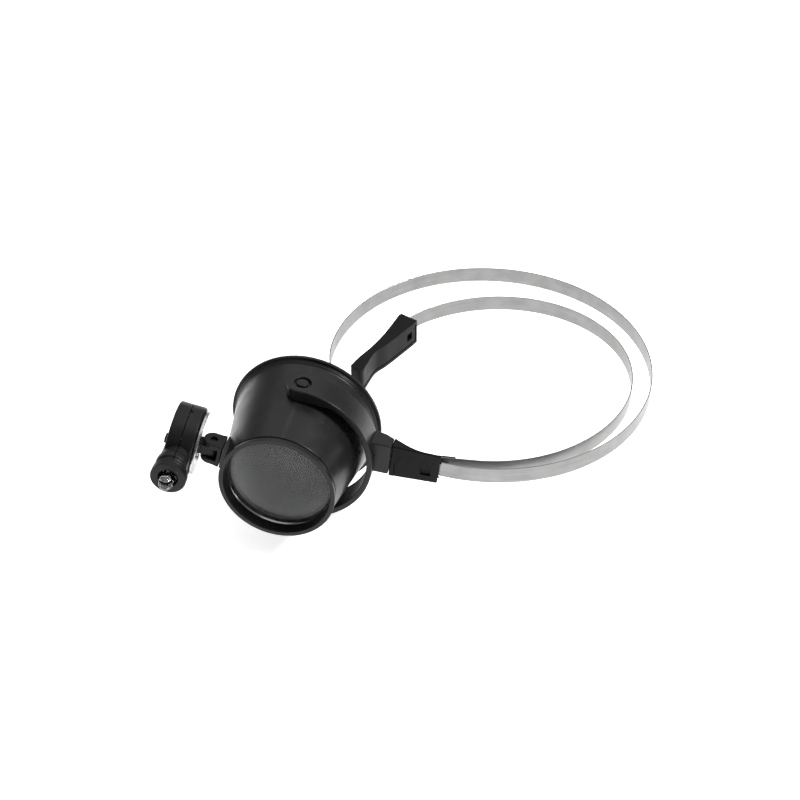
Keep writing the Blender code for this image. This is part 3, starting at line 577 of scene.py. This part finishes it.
def smooth(points, steps):
    """A Catmull-Rom curve through given points."""
    curve = []
    padded = [points[0]] + list(points) + [points[-1]]
    for index in range(1, len(padded) - 2):
        before, start, end, after = (Vector(point) for point in padded[index - 1:index + 3])
        for step in range(steps):
            t = step / steps
            point = 0.5 * (2 * start + (end - before) * t
                           + (2 * before - 5 * start + 4 * end - after) * t ** 2
                           + (3 * start - before - 3 * end + after) * t ** 3)
            curve.append(tuple(point))
    curve.append(tuple(points[-1]))
    return curve


# ---------------------------------------------------------------- eyecup

TO_LENS = {"origin": (0.0, PIVOT_STATION, 0.0), "axis": (0.0, -1.0, 0.0)}


def cone_radius(station):
    share = (station - CONE_START) / (CONE_END - CONE_START)
    return mix(CONE_BIG_RADIUS, CONE_SMALL_RADIUS, share)


def eyecup():
    """Rim lip, groove, step, cone, lens seat, pivot bores and the pad for the lamp's bracket."""
    inside_start = cone_radius(CONE_START) - CUP_WALL
    profile = [
        (RIM_RADIUS, 0.0), (RIM_RADIUS, 1.3), (STEP_RADIUS + 0.15, 1.3),
        (STEP_RADIUS - 0.2, 1.5), (STEP_RADIUS - 0.1, 2.35), (CONE_BIG_RADIUS, 2.7),
        (CONE_SMALL_RADIUS, CONE_END), (LENS_SEAT_RADIUS, CONE_END),
        (LENS_SEAT_RADIUS, LENS_LEDGE), (LENS_LEDGE_RADIUS, LENS_LEDGE),
        (LENS_LEDGE_RADIUS, LENS_LEDGE - 1.2), (cone_radius(LENS_LEDGE - 2) - CUP_WALL, LENS_LEDGE - 2),
        (inside_start, CONE_START), (inside_start + 0.7, 0.0),
    ]
    shell = turned("eyecup_body", profile, "pivot", segments=192, round_by=0.35, **TO_LENS)
    wall = cone_radius(PIVOT_STATION)
    bore = PIN_SHANK_RADIUS + GAP
    for side, label in ((1, "top"), (-1, "bottom")):
        cut(shell, rod(f"bore_{label}", bore, side * (wall - 4), side * (wall + 2), "pivot"))
    y = LAMP_HINGE[1]
    pad = block("bracket_pad", (BRACKET_PAD_X, y - BRACKET_HALF_LENGTH, -EAR_OUTER_Z),
                (BRACKET_PAD_X + 1.9, y + BRACKET_HALF_LENGTH, EAR_OUTER_Z), "side")
    join(shell, pad)
    seat = BRACKET_PAD_X + 1.6
    screw_line = (0, BRACKET_SCREW_Y, 0)
    cut(shell,
        rod("pad_bore", 1.0, -24, -18, "side", screw_line, (1, 0, 0)),
        rod("pad_sink", 1.7, seat, seat + 4, "side", screw_line, (1, 0, 0)))
    settle(shell, "cup", "eyecup", "eyecup_shell")


def lens():
    """Biconvex lens."""
    shares = [step / LENS_STEPS for step in range(LENS_STEPS + 1)]
    dome = [(LENS_RADIUS * share, LENS_CROWN * (1 - share ** 2)) for share in shares]
    front = [(radius, LENS_FRONT_EDGE + height) for radius, height in dome]
    back = [(radius, LENS_BACK_EDGE - height) for radius, height in dome]
    glass = turned("lens_body", back + front[::-1], "pivot", segments=128, **TO_LENS)
    settle(glass, "lens", "eyecup", "lens")


def lens_ring():
    """Front ring: an insert that holds the lens, a groove behind the lip and a sloping inner wall."""
    start = CONE_END + GAP
    lip = CUP_LENGTH - RING_LIP
    profile = [
        (RING_OPENING, LENS_FRONT_EDGE + GAP), (LENS_RADIUS, LENS_FRONT_EDGE + GAP), (LENS_RADIUS, start),
        (CONE_SMALL_RADIUS - 0.15, start), (CONE_SMALL_RADIUS - 0.1, lip), (RING_RADIUS, lip + 0.15),
        (RING_RADIUS, CUP_LENGTH), (RING_LIP_RADIUS, CUP_LENGTH),
        (RING_OPENING + 0.05, LENS_FRONT_EDGE + 0.5),
    ]
    ring = turned("lens_ring", profile, "pivot", segments=192, round_by=0.12, **TO_LENS)
    settle(ring, "cup", "eyecup", "lens_retaining_ring")


def pivot_pins():
    """Two round-edged pins with a shallow dish in the head."""
    under_head = YOKE_RADIUS - 0.85
    top = YOKE_RADIUS - 0.1
    flush = cone_radius(PIVOT_STATION) - CUP_WALL + 0.05
    for side, label in ((1, "top"), (-1, "bottom")):
        profile = [
            (0, flush), (PIN_SHANK_RADIUS, flush), (PIN_SHANK_RADIUS, under_head),
            (PIN_HEAD_RADIUS, under_head), (PIN_HEAD_RADIUS, top), (1.5, top), (1.2, top - 0.08),
            (0, top - 0.1),
        ]
        pin = turned(f"pivot_button_{label}", profile, "pivot", axis=(0, 0, side), round_by=0.22)
        settle(pin, "cup", "eyecup", f"pivot_pin_{label}")


# ---------------------------------------------------------------- yoke

def yoke_depth(outer, inward, across):
    """The yoke's depth, from its outer face to its round inside or to the flat over the cone."""
    to_cylinder = YOKE_PLATE / max(-inward.dot((outer - Vector((YOKE_OFFSET, 0.0))).normalized()), 0.5)
    flat = cone_radius(PIVOT_STATION - across) + YOKE_END_CLEARANCE
    if abs(inward.y) < 0.3:
        return to_cylinder
    return max(to_cylinder, (abs(outer.y) - flat) / abs(inward.y))


def yoke_ring(mesh_data, angle):
    """One rounded cross-section of the yoke; sections stand upright near the two ends."""
    outer = Vector((YOKE_OFFSET + YOKE_RADIUS * math.cos(angle), YOKE_RADIUS * math.sin(angle)))
    half_width = math.sqrt(max(YOKE_HALF_WIDTH ** 2 - min(outer.x, 0.0) ** 2, 0.0025))
    radial = Vector((-math.cos(angle), -math.sin(angle)))
    upright = Vector((0.0, -math.copysign(1.0, angle)))
    inward = radial.lerp(upright, mix(1.0, 0.0, (outer.x - 2.0) / 12.0)).normalized()
    corners = [
        (-half_width, 0.0),
        (half_width, 0.0),
        (half_width, yoke_depth(outer, inward, half_width)),
        (-half_width, yoke_depth(outer, inward, -half_width)),
    ]
    ring = []
    for across, depth in rounded(corners, 0.4, 4):
        point = outer + inward * depth
        ring.append(mesh_data.verts.new((point.x, across, point.y)))
    return ring


def yoke():
    """C-shaped band with thick round ends, a hub, counterbores and the twist joint's bore."""
    mesh_data = bmesh.new()
    limit = math.acos((-YOKE_HALF_WIDTH - YOKE_OFFSET) / YOKE_RADIUS)
    angles = [-limit * math.cos(math.pi * step / YOKE_STEPS) for step in range(YOKE_STEPS + 1)]
    rings = [yoke_ring(mesh_data, angle) for angle in angles]
    for first, second in zip(rings, rings[1:]):
        join_rings(mesh_data, first, second)
    mesh_data.faces.new(rings[0])
    mesh_data.faces.new(rings[-1])
    plate = solid("yoke_band", mesh_data, "pivot")
    outline = [(25.6, -1.9), (HUB_FACE, -1.6), (HUB_FACE, 3.4), (29.8, 5.0), (27.5, 5.39), (25.6, 5.39)]
    hub = prism("hub", outline, HUB_CENTRE_Z - HUB_HALF_HEIGHT, HUB_CENTRE_Z + HUB_HALF_HEIGHT, "pivot")
    join(plate, soften(hub, 0.5, 4))
    top = YOKE_RADIUS - 1.15
    for side, label in ((1, "top"), (-1, "bottom")):
        bore = [(0, top), (COUNTERBORE_RADIUS, top), (COUNTERBORE_RADIUS, YOKE_RADIUS - 0.25),
                (COUNTERBORE_RADIUS + 0.3, YOKE_RADIUS + 0.05), (COUNTERBORE_RADIUS + 0.3, 30), (0, 30)]
        cut(plate,
            rod(f"eye_{label}", PIN_SHANK_RADIUS + GAP, 20, 30, "pivot", axis=(0, 0, side)),
            turned(f"counterbore_{label}", bore, "pivot", axis=(0, 0, side)))
    flip_line = (0.0, FLIP_LINE_Y, HUB_CENTRE_Z)
    cut(plate,
        rod("flip_bore", FLIP_SHANK_RADIUS + GAP, 24, 36, "pivot", flip_line, (1, 0, 0)),
        rod("flip_pocket", FLIP_HEAD_RADIUS + GAP, 23.5, 27.8, "pivot", flip_line, (1, 0, 0)))
    settle(plate, "cup", "yoke", "yoke")


# ---------------------------------------------------------------- front arm, hoops and pads

def arm_front_y(x):
    return mix(*ARM_FRONT_Y, (x - SEAM_X) / (ARM_END_X - SEAM_X))


def lean(x, y, z):
    """Slant upright edges like the seam and taper the height along the arm."""
    half = mix(*ARM_HALF_HEIGHT, (x - SEAM_X) / (ARM_END_X - SEAM_X))
    return Vector((x + z * half * math.tan(math.radians(SEAM_LEAN)), y, z * half))


def hoop_point(hoop, angle):
    radius = hoop["radius"] + hoop["oval"] * math.cos(2 * math.radians(angle - hoop["phase"]))
    turn = math.radians(angle)
    return Vector(hoop["centre"]) + radius * Vector((math.cos(turn), math.sin(turn)))


def strip_path(hoop):
    """A straight lead-in, an oval sweep, a tighter tail and a straight end."""
    start = hoop["start"]
    first = hoop_point(hoop, start)
    back = (first - hoop_point(hoop, start + 1.0)).normalized()
    points = [first + back * hoop["lead_in"] * share for share in (1.0, 0.66, 0.33)]
    span = hoop["end"] + 360.0 - start
    for step in range(SWEEP_STEPS + 1):
        points.append(hoop_point(hoop, start + span * step / SWEEP_STEPS))
    heading = points[-1] - points[-2]
    angle = math.atan2(heading.y, heading.x)
    turn = math.radians(hoop["tail_turn"])
    length = hoop["tail_radius"] * turn / TAIL_STEPS
    for _ in range(TAIL_STEPS):
        angle += turn / TAIL_STEPS
        points.append(points[-1] + length * Vector((math.cos(angle), math.sin(angle))))
    points.append(points[-1] + hoop["tail_straight"] * Vector((math.cos(angle), math.sin(angle))))
    return points


def ribbon(path, half_thickness):
    left = []
    right = []
    for index, point in enumerate(path):
        along = (path[min(index + 1, len(path) - 1)] - path[max(index - 1, 0)]).normalized()
        side = Vector((-along.y, along.x)) * half_thickness
        left.append(tuple(point + side))
        right.append(tuple(point - side))
    return left + right[::-1]


def strip(name, hoop):
    """Spring-steel strip on edge, with its sheared edges rounded."""
    mesh_data = bmesh.new()
    half = STRIP_WIDTH / 2
    edge = STRIP_THICKNESS / 2
    section = rounded([(-edge, -half), (edge, -half), (edge, half), (-edge, half)], 0.14, 3)
    path = strip_path(hoop)
    rings = []
    for index, point in enumerate(path):
        along = (path[min(index + 1, len(path) - 1)] - path[max(index - 1, 0)]).normalized()
        side = Vector((-along.y, along.x))
        rings.append([mesh_data.verts.new((*(point + side * out), up)) for out, up in section])
    for first, second in zip(rings, rings[1:]):
        join_rings(mesh_data, first, second)
    mesh_data.faces.new(rings[0])
    mesh_data.faces.new(rings[-1])
    return solid(name, mesh_data, "hoops")


def strip_slot(name, path):
    half = STRIP_WIDTH / 2 + GAP
    return prism(name, ribbon(path, STRIP_THICKNESS / 2 + GAP), -half, half, "hoops")


def front_arm():
    """Tapered moulding with a slanted end, a recessed panel, a window and teeth round the strip."""
    outline = [(SEAM_X, ARM_FRONT_Y[0]), (ARM_END_X, ARM_FRONT_Y[1]), (ARM_END_X, -2.6), (39.9, -2.45),
               (39.4, -0.8), (SEAM_X, 0.9)]
    body = prism("arm_moulding", outline, -1.0, 1.0, "arm", warp=lean)
    soften(body, 0.55, 4)
    path = strip_path(OUTER_HOOP)[:STRIP_POINTS_IN_ARM]
    path[0] = path[0] + (path[0] - path[1]).normalized() * GAP
    for side, label in ((1, "top"), (-1, "bottom")):
        cut(body, soften(arm_back(f"arm_back_{label}", side), 0.2, 2))
    low = (ARM_WINDOW_X[0], -6.0, ARM_WINDOW_Z[0])
    high = (ARM_WINDOW_X[1], ARM_WINDOW_FLOOR, ARM_WINDOW_Z[1])
    cut(body,
        strip_slot("outer_slot", path),
        arm_panel(),
        arm_groove(),
        block("window", low, high, "arm"),
        rod("screw_bore", FLIP_SHANK_RADIUS + GAP, -1.0, 3.7, "flip", axis=(1, 0, 0)),
        rod("rivet_bore", RIVET_SHANK_RADIUS + GAP, -3.6, 0.0, "rivet", axis=(0, 1, 0)))
    for height in (3.05, -3.35):
        tip = ARM_END_X + height * math.tan(math.radians(SEAM_LEAN))
        low = (tip - 0.4, -4.9, height - 0.3)
        high = (tip + 0.45, -4.45, height + 0.3)
        tooth = block(f"tooth_{height}", low, high, "arm")
        join(body, soften(tooth, 0.12, 2))
    settle(body, "arm", "outer_hoop", "front_arm")


def arm_back(name, side):
    """Leaves the upper or lower flange as a thin wall; the core reaches past the window's lower edge."""
    curve = smooth([(33.2, 1.1), (34.0, 0.75), (36.9, -0.95), (40.4, -2.7), (44.0, -3.9), (47.6, -4.3),
                    (52.5, -4.55)], 10)
    outline = curve + [(52.5, 4.0), (33.2, 4.0)]
    return prism(name, outline, side * ARM_CORE_HALF_HEIGHT[side > 0], side * 9.0, "arm")


def follow_arm_face(x, y, z):
    return Vector((x, y + arm_front_y(x), z))


def panel_edge():
    """The panel's S-shaped upper edge, from below the arm to beyond its end."""
    return smooth([(34.9, -8.5), (35.0, -1.5), (36.0, 0.6), (37.4, 2.2), (39.2, ARM_PANEL_TOP),
                   (ARM_END_X + 2.0, ARM_PANEL_TOP)], 10)


def arm_panel():
    """Shallow recess over the lower part of the outer face."""
    outline = panel_edge() + [(ARM_END_X + 2.0, -8.5)]
    return prism("arm_panel", outline, -3.0, ARM_PANEL_DEPTH, "arm", "y", follow_arm_face)


def arm_groove():
    """Fine groove along the panel's edge."""
    edge = panel_edge()
    outline = [(x + 0.05, z - 0.05) for x, z in edge] + [(x - 0.2, z + 0.2) for x, z in reversed(edge)]
    return prism("arm_groove", outline, -3.0, ARM_PANEL_DEPTH + 0.2, "arm", "y", follow_arm_face)


def inner_arm():
    """Flat eye on the rivet and a thin tongue behind the inner strip."""
    eye = rod("inner_arm_moulding", RIVET_DISC_RADIUS, -2.15, -0.5, "rivet", axis=(0, 1, 0))
    outline = [
        (2.0, -2.15), (3.9, -2.15), (5.6, -1.3), (12.5, -0.8), (12.5, -0.05), (5.6, -0.5), (2.0, -0.5),
    ]
    join(eye, prism("tongue", rounded(outline, 0.2), -2.7, 2.7, "rivet"))
    cut(eye,
        rod("eye_bore", RIVET_SHANK_RADIUS + GAP, -4, 2, "rivet", axis=(0, 1, 0)),
        rod("strip_bore", STRIP_HOLE_RADIUS, -4, 2, "rivet", (STRIP_RIVET_X, 0, 0), (0, 1, 0)))
    settle(eye, "arm", "inner_hoop", "inner_arm")


def hoop_strips():
    settle(strip("outer_strip", OUTER_HOOP), "strip", "outer_hoop", "outer_band")
    inner = strip("inner_strip", INNER_HOOP)
    cut(inner, rod("band_hole", STRIP_HOLE_RADIUS, -4, 2, "rivet", (STRIP_RIVET_X, 0, 0), (0, 1, 0)))
    settle(inner, "strip", "inner_hoop", "inner_band")


def rivets():
    """Domed heads on both rivets."""
    head = RIVET_HEAD_RADIUS
    shank = RIVET_SHANK_RADIUS
    profile = [(0, -3.3), (shank, -3.3), (shank, -0.2), (head, -0.2), (head, 0.15), (head - 0.35, 0.42),
               (head - 1.0, 0.5), (0, 0.5)]
    large = turned("hoop_rivet", profile, "rivet", axis=(0, 1, 0), round_by=0.12)
    settle(large, "plated", "outer_hoop", "band_rivet")
    profile = [(0, -2.4), (1.3, -2.4), (1.3, -2.0), (0.7, -2.0), (0.7, 0.4), (1.3, 0.4), (1.3, 0.65),
               (0.9, 0.8), (0, 0.8)]
    small = turned("tongue_rivet", profile, "rivet", (STRIP_RIVET_X, 0, 0), (0, 1, 0), round_by=0.1)
    settle(small, "plated", "inner_hoop", "strip_rivet")


def end_pad(name, pad, hoop, body, replaced):
    """Curved pad: thick at the strip, thin in the middle, a curled tip, a panel and a window."""
    turn = Matrix.Rotation(math.radians(pad["heading"]), 4, "Z")
    FRAMES[name] = Matrix.Translation(Vector(pad["place"]) * MM) @ turn
    stretch = pad["length"] / DRAWN_PAD_LENGTH
    outer = smooth([(0.0, -3.7), (1.6, -3.9), (7.6, -2.6), (15.2, -1.2), (22.6, -0.5), (29.9, -0.4),
                    (35.6, 0.1)], 8)
    inner = smooth([(36.3, 4.7), (34.6, 5.2), (30.5, 4.1), (24.6, 2.7), (18.0, 3.4), (4.3, 3.8),
                    (0.2, 3.7)], 8)
    outline = [(u * stretch, v) for u, v in outer + inner]
    moulding = prism(name, outline, -PAD_HALF_HEIGHT, PAD_HALF_HEIGHT, name)
    soften(moulding, 0.55, 4)
    tail = strip_path(hoop)[-STRIP_POINTS_IN_PAD:]
    tail[-1] = tail[-1] + (tail[-1] - tail[-2]).normalized() * GAP
    face = [(u * stretch, v - 0.25) for u, v in inner[4:-3]]
    recess = face + [(face[-1][0], 9.0), (face[0][0], 9.0)]
    cut(moulding,
        strip_slot(f"{name}_slot", tail),
        prism(f"{name}_panel", recess, -3.9, 3.9, name),
        block(f"{name}_window", (3.4, 2.2, -1.6), (6.4, 6.0, 1.6), name))
    settle(moulding, "arm", body, replaced)


# ---------------------------------------------------------------- lamp

def lamp_bracket():
    """Base on the cup's side with two round ears, a screw and the sunk hinge pin."""
    x, y, _ = LAMP_HINGE
    base_inner = BRACKET_PAD_X - GAP
    base_outer = x + LUG_RADIUS + GAP
    bracket = block("bracket_moulding", (base_outer, y - BRACKET_HALF_LENGTH, -EAR_OUTER_Z),
                    (base_inner, y + BRACKET_HALF_LENGTH, EAR_OUTER_Z), "side")
    soften(bracket, 0.25, 3)
    root = base_inner - 0.5
    for sign, label in ((1, "top"), (-1, "bottom")):
        outline = arc((x, y), EAR_RADIUS, 90, 270, 40) + [(root, y - EAR_RADIUS), (root, y + EAR_RADIUS)]
        ear = prism(f"ear_{label}", outline, sign * EAR_INNER_Z, sign * EAR_OUTER_Z, "side")
        join(bracket, soften(ear, 0.3, 3))
    foot = block("bracket_notch", (base_outer + 1.3, y - BRACKET_HALF_LENGTH - 1, -2.6),
                 (base_outer + 1.9, y - BRACKET_HALF_LENGTH + 0.5, -0.2), "side")
    cut(bracket,
        foot,
        rod("pin_bore", HINGE_PIN_RADIUS + GAP, -8, 8, "side", (x, y, 0)),
        rod("screw_bore", 1.0, -24, -20, "side", (0, BRACKET_SCREW_Y, 0), (1, 0, 0)))
    settle(bracket, "lamp", "eyecup", "lamp_bracket")
    half = EAR_OUTER_Z - 0.9
    profile = [(0, -half), (HINGE_PIN_RADIUS, -half), (HINGE_PIN_RADIUS, half), (0, half)]
    pin = turned("hinge_pin", profile, "side", LAMP_HINGE, round_by=0.25)
    settle(pin, "lamp", "eyecup", "lamp_hinge_pin")


def lamp_half(name, keep_outer):
    """One half of the round battery case with its snout."""
    half = LAMP_HALF_THICKNESS
    disc = [(0, -half), (DISC_RADIUS, -half), (DISC_RADIUS, half), (0, half)]
    body = turned(name, disc, "lamp", (LAMP_X, DISC_Y, 0), (1, 0, 0), 144, round_by=0.9)
    tip = SNOUT_LENGTH
    collar = SNOUT_RADIUS + 0.6
    snout = [(0, 0), (SNOUT_RADIUS, 0), (SNOUT_RADIUS, tip - 4.8), (collar, tip - 4.2),
             (collar, tip - 1.8), (SNOUT_RADIUS, tip - 1.3), (SNOUT_RADIUS - 0.2, tip), (0, tip)]
    join(body, turned(f"{name}_snout", snout, "lamp", (LAMP_X, 0, 0), (0, -1, 0), 96, round_by=0.35))
    cut(body,
        rod(f"{name}_chamber", CHAMBER_RADIUS, -CHAMBER_HALF_DEPTH, CHAMBER_HALF_DEPTH, "lamp",
            (LAMP_X, DISC_Y, 0), (1, 0, 0)),
        rod(f"{name}_bore", SNOUT_BORE, 0, tip + 2, "lamp", (LAMP_X, 0, 0), (0, -1, 0)))
    far = 30.0
    split = GAP / 2
    notch_low = (LAMP_X, DISC_Y - 0.6, DISC_RADIUS - 0.45)
    notch_high = (LAMP_X + 0.9, DISC_Y + 0.6, far)
    if keep_outer:
        cut(body, block(f"{name}_waste", (LAMP_X - split, -far, -far), (far, far, far), "lamp"))
    else:
        cut(body,
            block(f"{name}_waste", (-far, -far, -far), (LAMP_X + split, far, far), "lamp"),
            block(f"{name}_flat", (LAMP_X + half, -far, -far), (far, far, far), "lamp"),
            block(f"{name}_notch", notch_low, notch_high, "lamp"))
    return body


def lamp_case():
    """Both halves: the outer one with the switch slot, the inner one with the hinge lug."""
    outer = lamp_half("lamp_case_outer", True)
    length = SWITCH_SLOT_HALF_LENGTH
    cut(outer, block("switch_slot", (LAMP_X - 6, SWITCH_Y - length, -1.4),
                     (LAMP_X - CHAMBER_HALF_DEPTH + 0.5, SWITCH_Y + length, 1.4), "lamp"))
    settle(outer, "lamp", "lamp", "lamp_shell_outer")
    inner = lamp_half("lamp_case_inner", False)
    face = LAMP_X + LAMP_HALF_THICKNESS
    root = face - 0.8
    half = EAR_INNER_Z - GAP
    outline = arc((0, 0), LUG_RADIUS, -90, 90, 32) + [(root, LUG_RADIUS), (root, -LUG_RADIUS)]
    join(inner, prism("lug", outline, -half, half, "lamp"))
    cut(inner,
        rod("lug_bore", HINGE_PIN_RADIUS + GAP, -6, 6, "lamp"),
        rod("plate_screw_bore", 0.8, face - 1.5, face + 3, "lamp", (0, PLATE_SCREW_Y, 0), (1, 0, 0)))
    settle(inner, "lamp", "lamp", "lamp_shell_inner")


def side_plate():
    """Bright plate with a turned edge, notched round the lug, and its slotted screw."""
    face = LAMP_X + LAMP_HALF_THICKNESS + GAP
    top = face + PLATE_THICKNESS
    profile = [(0, face), (PLATE_RADIUS, face), (PLATE_RADIUS, top), (0, top)]
    plate = turned("side_plate", profile, "lamp", (0, DISC_Y, 0), (1, 0, 0), 128, round_by=0.25)
    notch = LUG_RADIUS + GAP
    cut(plate,
        block("plate_notch", (face - 1, -notch, -EAR_INNER_Z), (face + 3, notch, EAR_INNER_Z), "lamp"),
        rod("plate_hole", 0.8, face - 2, face + 3, "lamp", (0, PLATE_SCREW_Y, 0), (1, 0, 0)))
    settle(plate, "plated", "lamp", "lamp_side_plate")
    under = top + GAP
    shank = 0.5
    head = [(0, under - 2.4), (shank, under - 2.4), (shank, under), (1.3, under), (1.3, under + 0.3),
            (1.0, under + 0.5), (0, under + 0.5)]
    screw = turned("plate_screw_head", head, "lamp", (0, PLATE_SCREW_Y, 0), (1, 0, 0), 48, round_by=0.08)
    low = (under + 0.25, PLATE_SCREW_Y - 2, -0.18)
    high = (under + 1, PLATE_SCREW_Y + 2, 0.18)
    cut(screw, block("screw_slot", low, high, "lamp"))
    settle(screw, "plated", "lamp", "plate_screw")


def nose_ring():
    """Collar round the LED with a rounded lip and a fine groove."""
    start = SNOUT_LENGTH + GAP
    end = NOSE_LENGTH
    profile = [(SNOUT_BORE, start), (NOSE_RADIUS, start), (NOSE_RADIUS, start + 0.8),
               (NOSE_RADIUS - 0.18, start + 1.0), (NOSE_RADIUS, start + 1.2), (NOSE_RADIUS, end),
               (SNOUT_BORE, end)]
    ring = turned("nose_collar", profile, "lamp", (LAMP_X, 0, 0), (0, -1, 0), 128, round_by=0.32)
    settle(ring, "lamp", "lamp", "lamp_nose_ring")


def led():
    """Clear dome with its flange, and the little frame that carries the chip inside it."""
    dome = arc((0.0, LED_SHOULDER), LED_RADIUS, 0, LED_DOME_END, LED_DOME_STEPS)
    profile = [(0, LED_BASE), (LED_FLANGE_RADIUS, LED_BASE), (LED_FLANGE_RADIUS, LED_BASE + 1.0),
               (LED_RADIUS, LED_BASE + 1.0)] + dome + [(0, LED_SHOULDER + LED_RADIUS)]
    bulb = turned("led_dome", profile, "lamp", (LAMP_X, 0, 0), (0, -1, 0), 96)
    settle(bulb, "led", "lamp", "led_bulb")
    seat = LED_SHOULDER - 1.2
    cup = [(0, LED_BASE + 0.4), (0.5, LED_BASE + 0.4), (0.6, seat - 1.6), (1.1, seat - 0.9), (1.1, seat),
           (0.95, seat), (0.45, seat - 0.55), (0, seat - 0.55)]
    anvil = turned("led_cup", cup, "lamp", (LAMP_X - 0.5, 0, 0), (0, -1, 0), 48, round_by=0.08)
    settle(anvil, "plated", "lamp")
    post_x = LAMP_X + LEAD_SPREAD
    low = -(LED_SHOULDER - 1.0)
    post = block("led_post", (post_x - 0.25, low, -0.3), (post_x + 0.25, -(LED_BASE + 0.4), 0.3), "lamp")
    settle(soften(post, 0.08, 2), "plated", "lamp")


def switch():
    """Nub with finger ridges."""
    outer = LAMP_X - LAMP_HALF_THICKNESS - 1.5
    inner = LAMP_X - CHAMBER_HALF_DEPTH - GAP
    y = SWITCH_Y - 1.0
    nub = block("switch_nub", (outer, y - 1.5, -1.1), (inner, y + 1.5, 1.1), "lamp")
    soften(nub, 0.25, 3)
    for step in (-1, 0, 1):
        groove = y + step * 0.8
        low = (outer - 1, groove - 0.14, -2)
        high = (outer + 0.25, groove + 0.14, 2)
        cut(nub, block(f"ridge_{step + 1}", low, high, "lamp"))
    settle(nub, "lamp", "switch", "switch_slider")


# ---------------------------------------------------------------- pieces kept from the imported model

KEPT = (
    "flip_screw", "friction_washer", "bracket_screw", "button_cell_outer", "button_cell_inner",
    "contact_plate", "contact_spring", "led_lead_long", "led_lead_short",
)


def finish_kept_nodes():
    """Hardware that stays as it is in the model gets the plated look."""
    for name in KEPT:
        mesh = frame["nodes"][name].data
        mesh.materials.clear()
        mesh.materials.append(LOOKS["plated"])


# ---------------------------------------------------------------- room

def floor():
    """A wide pale floor just under the cup, with a little light of its own to keep shadows soft."""
    made, shader = new_material("floor_paper", (0.9, 0.9, 0.9), 0.85)
    link(made, tint(made, noise(made, 6.0, 2.0), (0.89, 0.89, 0.89), (0.905, 0.905, 0.905)),
         shader.inputs["Base Color"])
    shader.inputs["Specular IOR Level"].default_value = 0.1
    shader.inputs["Emission Color"].default_value = (1.0, 1.0, 1.0, 1.0)
    shader.inputs["Emission Strength"].default_value = FLOOR_GLOW
    mesh_data = bmesh.new()
    bmesh.ops.create_circle(mesh_data, cap_ends=True, segments=96, radius=FLOOR_RADIUS)
    mesh = bpy.data.meshes.new("floor")
    mesh_data.to_mesh(mesh)
    mesh_data.free()
    mesh.materials.append(made)
    slab = bpy.data.objects.new("floor", mesh)
    bpy.context.scene.collection.objects.link(slab)
    slab.location = (0.0, 0.0, CAD_BOX[0].z - FLOOR_DROP)


def soft_light(name, place, target, size, watts):
    data = bpy.data.lights.new(name, "AREA")
    data.shape = "DISK"
    data.size = size
    data.energy = watts
    made = bpy.data.objects.new(name, data)
    bpy.context.scene.collection.objects.link(made)
    made.location = place
    made.rotation_euler = (Vector(target) - Vector(place)).to_track_quat("-Z", "Y").to_euler()


def sky():
    """Grey surroundings, brighter behind and above the object than in front."""
    world = bpy.data.worlds.new("studio")
    world.use_nodes = True
    tree = world.node_tree
    place = tree.nodes.new("ShaderNodeTexCoord")
    towards = tree.nodes.new("ShaderNodeVectorMath")
    towards.operation = "DOT_PRODUCT"
    towards.inputs[1].default_value = SKY_BRIGHT_SIDE
    level = tree.nodes.new("ShaderNodeMapRange")
    level.inputs["From Min"].default_value = SKY_SPAN[0]
    level.inputs["From Max"].default_value = SKY_SPAN[1]
    level.inputs["To Min"].default_value = SKY_LEVELS[0]
    level.inputs["To Max"].default_value = SKY_LEVELS[1]
    tree.links.new(place.outputs["Generated"], towards.inputs[0])
    tree.links.new(towards.outputs["Value"], level.inputs["Value"])
    tree.links.new(level.outputs["Result"], tree.nodes["Background"].inputs["Strength"])
    tree.nodes["Background"].inputs["Color"].default_value = (1.0, 1.0, 1.0, 1.0)
    bpy.context.scene.world = world


def room():
    """A softbox above, a small key light at the right and a weak fill at the left."""
    sky()
    for light in LIGHTS:
        soft_light(*light)


def camera():
    data = bpy.data.cameras.new("camera")
    data.lens = CAMERA_LENS
    data.clip_start = CAMERA_NEAR
    made = bpy.data.objects.new("camera", data)
    bpy.context.scene.collection.objects.link(made)
    made.location = CAMERA_PLACE
    made.rotation_euler = [math.radians(angle) for angle in CAMERA_TURN]
    bpy.context.scene.camera = made


eyecup()
lens()
lens_ring()
pivot_pins()
yoke()
front_arm()
inner_arm()
hoop_strips()
rivets()
end_pad("outer_pad_moulding", OUTER_PAD, OUTER_HOOP, "outer_hoop", "outer_end_pad")
end_pad("inner_pad_moulding", INNER_PAD, INNER_HOOP, "inner_hoop", "inner_end_pad")
lamp_bracket()
lamp_case()
side_plate()
nose_ring()
led()
switch()
finish_kept_nodes()
floor()
room()
camera()
bpy.context.scene.view_settings.view_transform = "Standard"

bpy.context.view_layer.update()
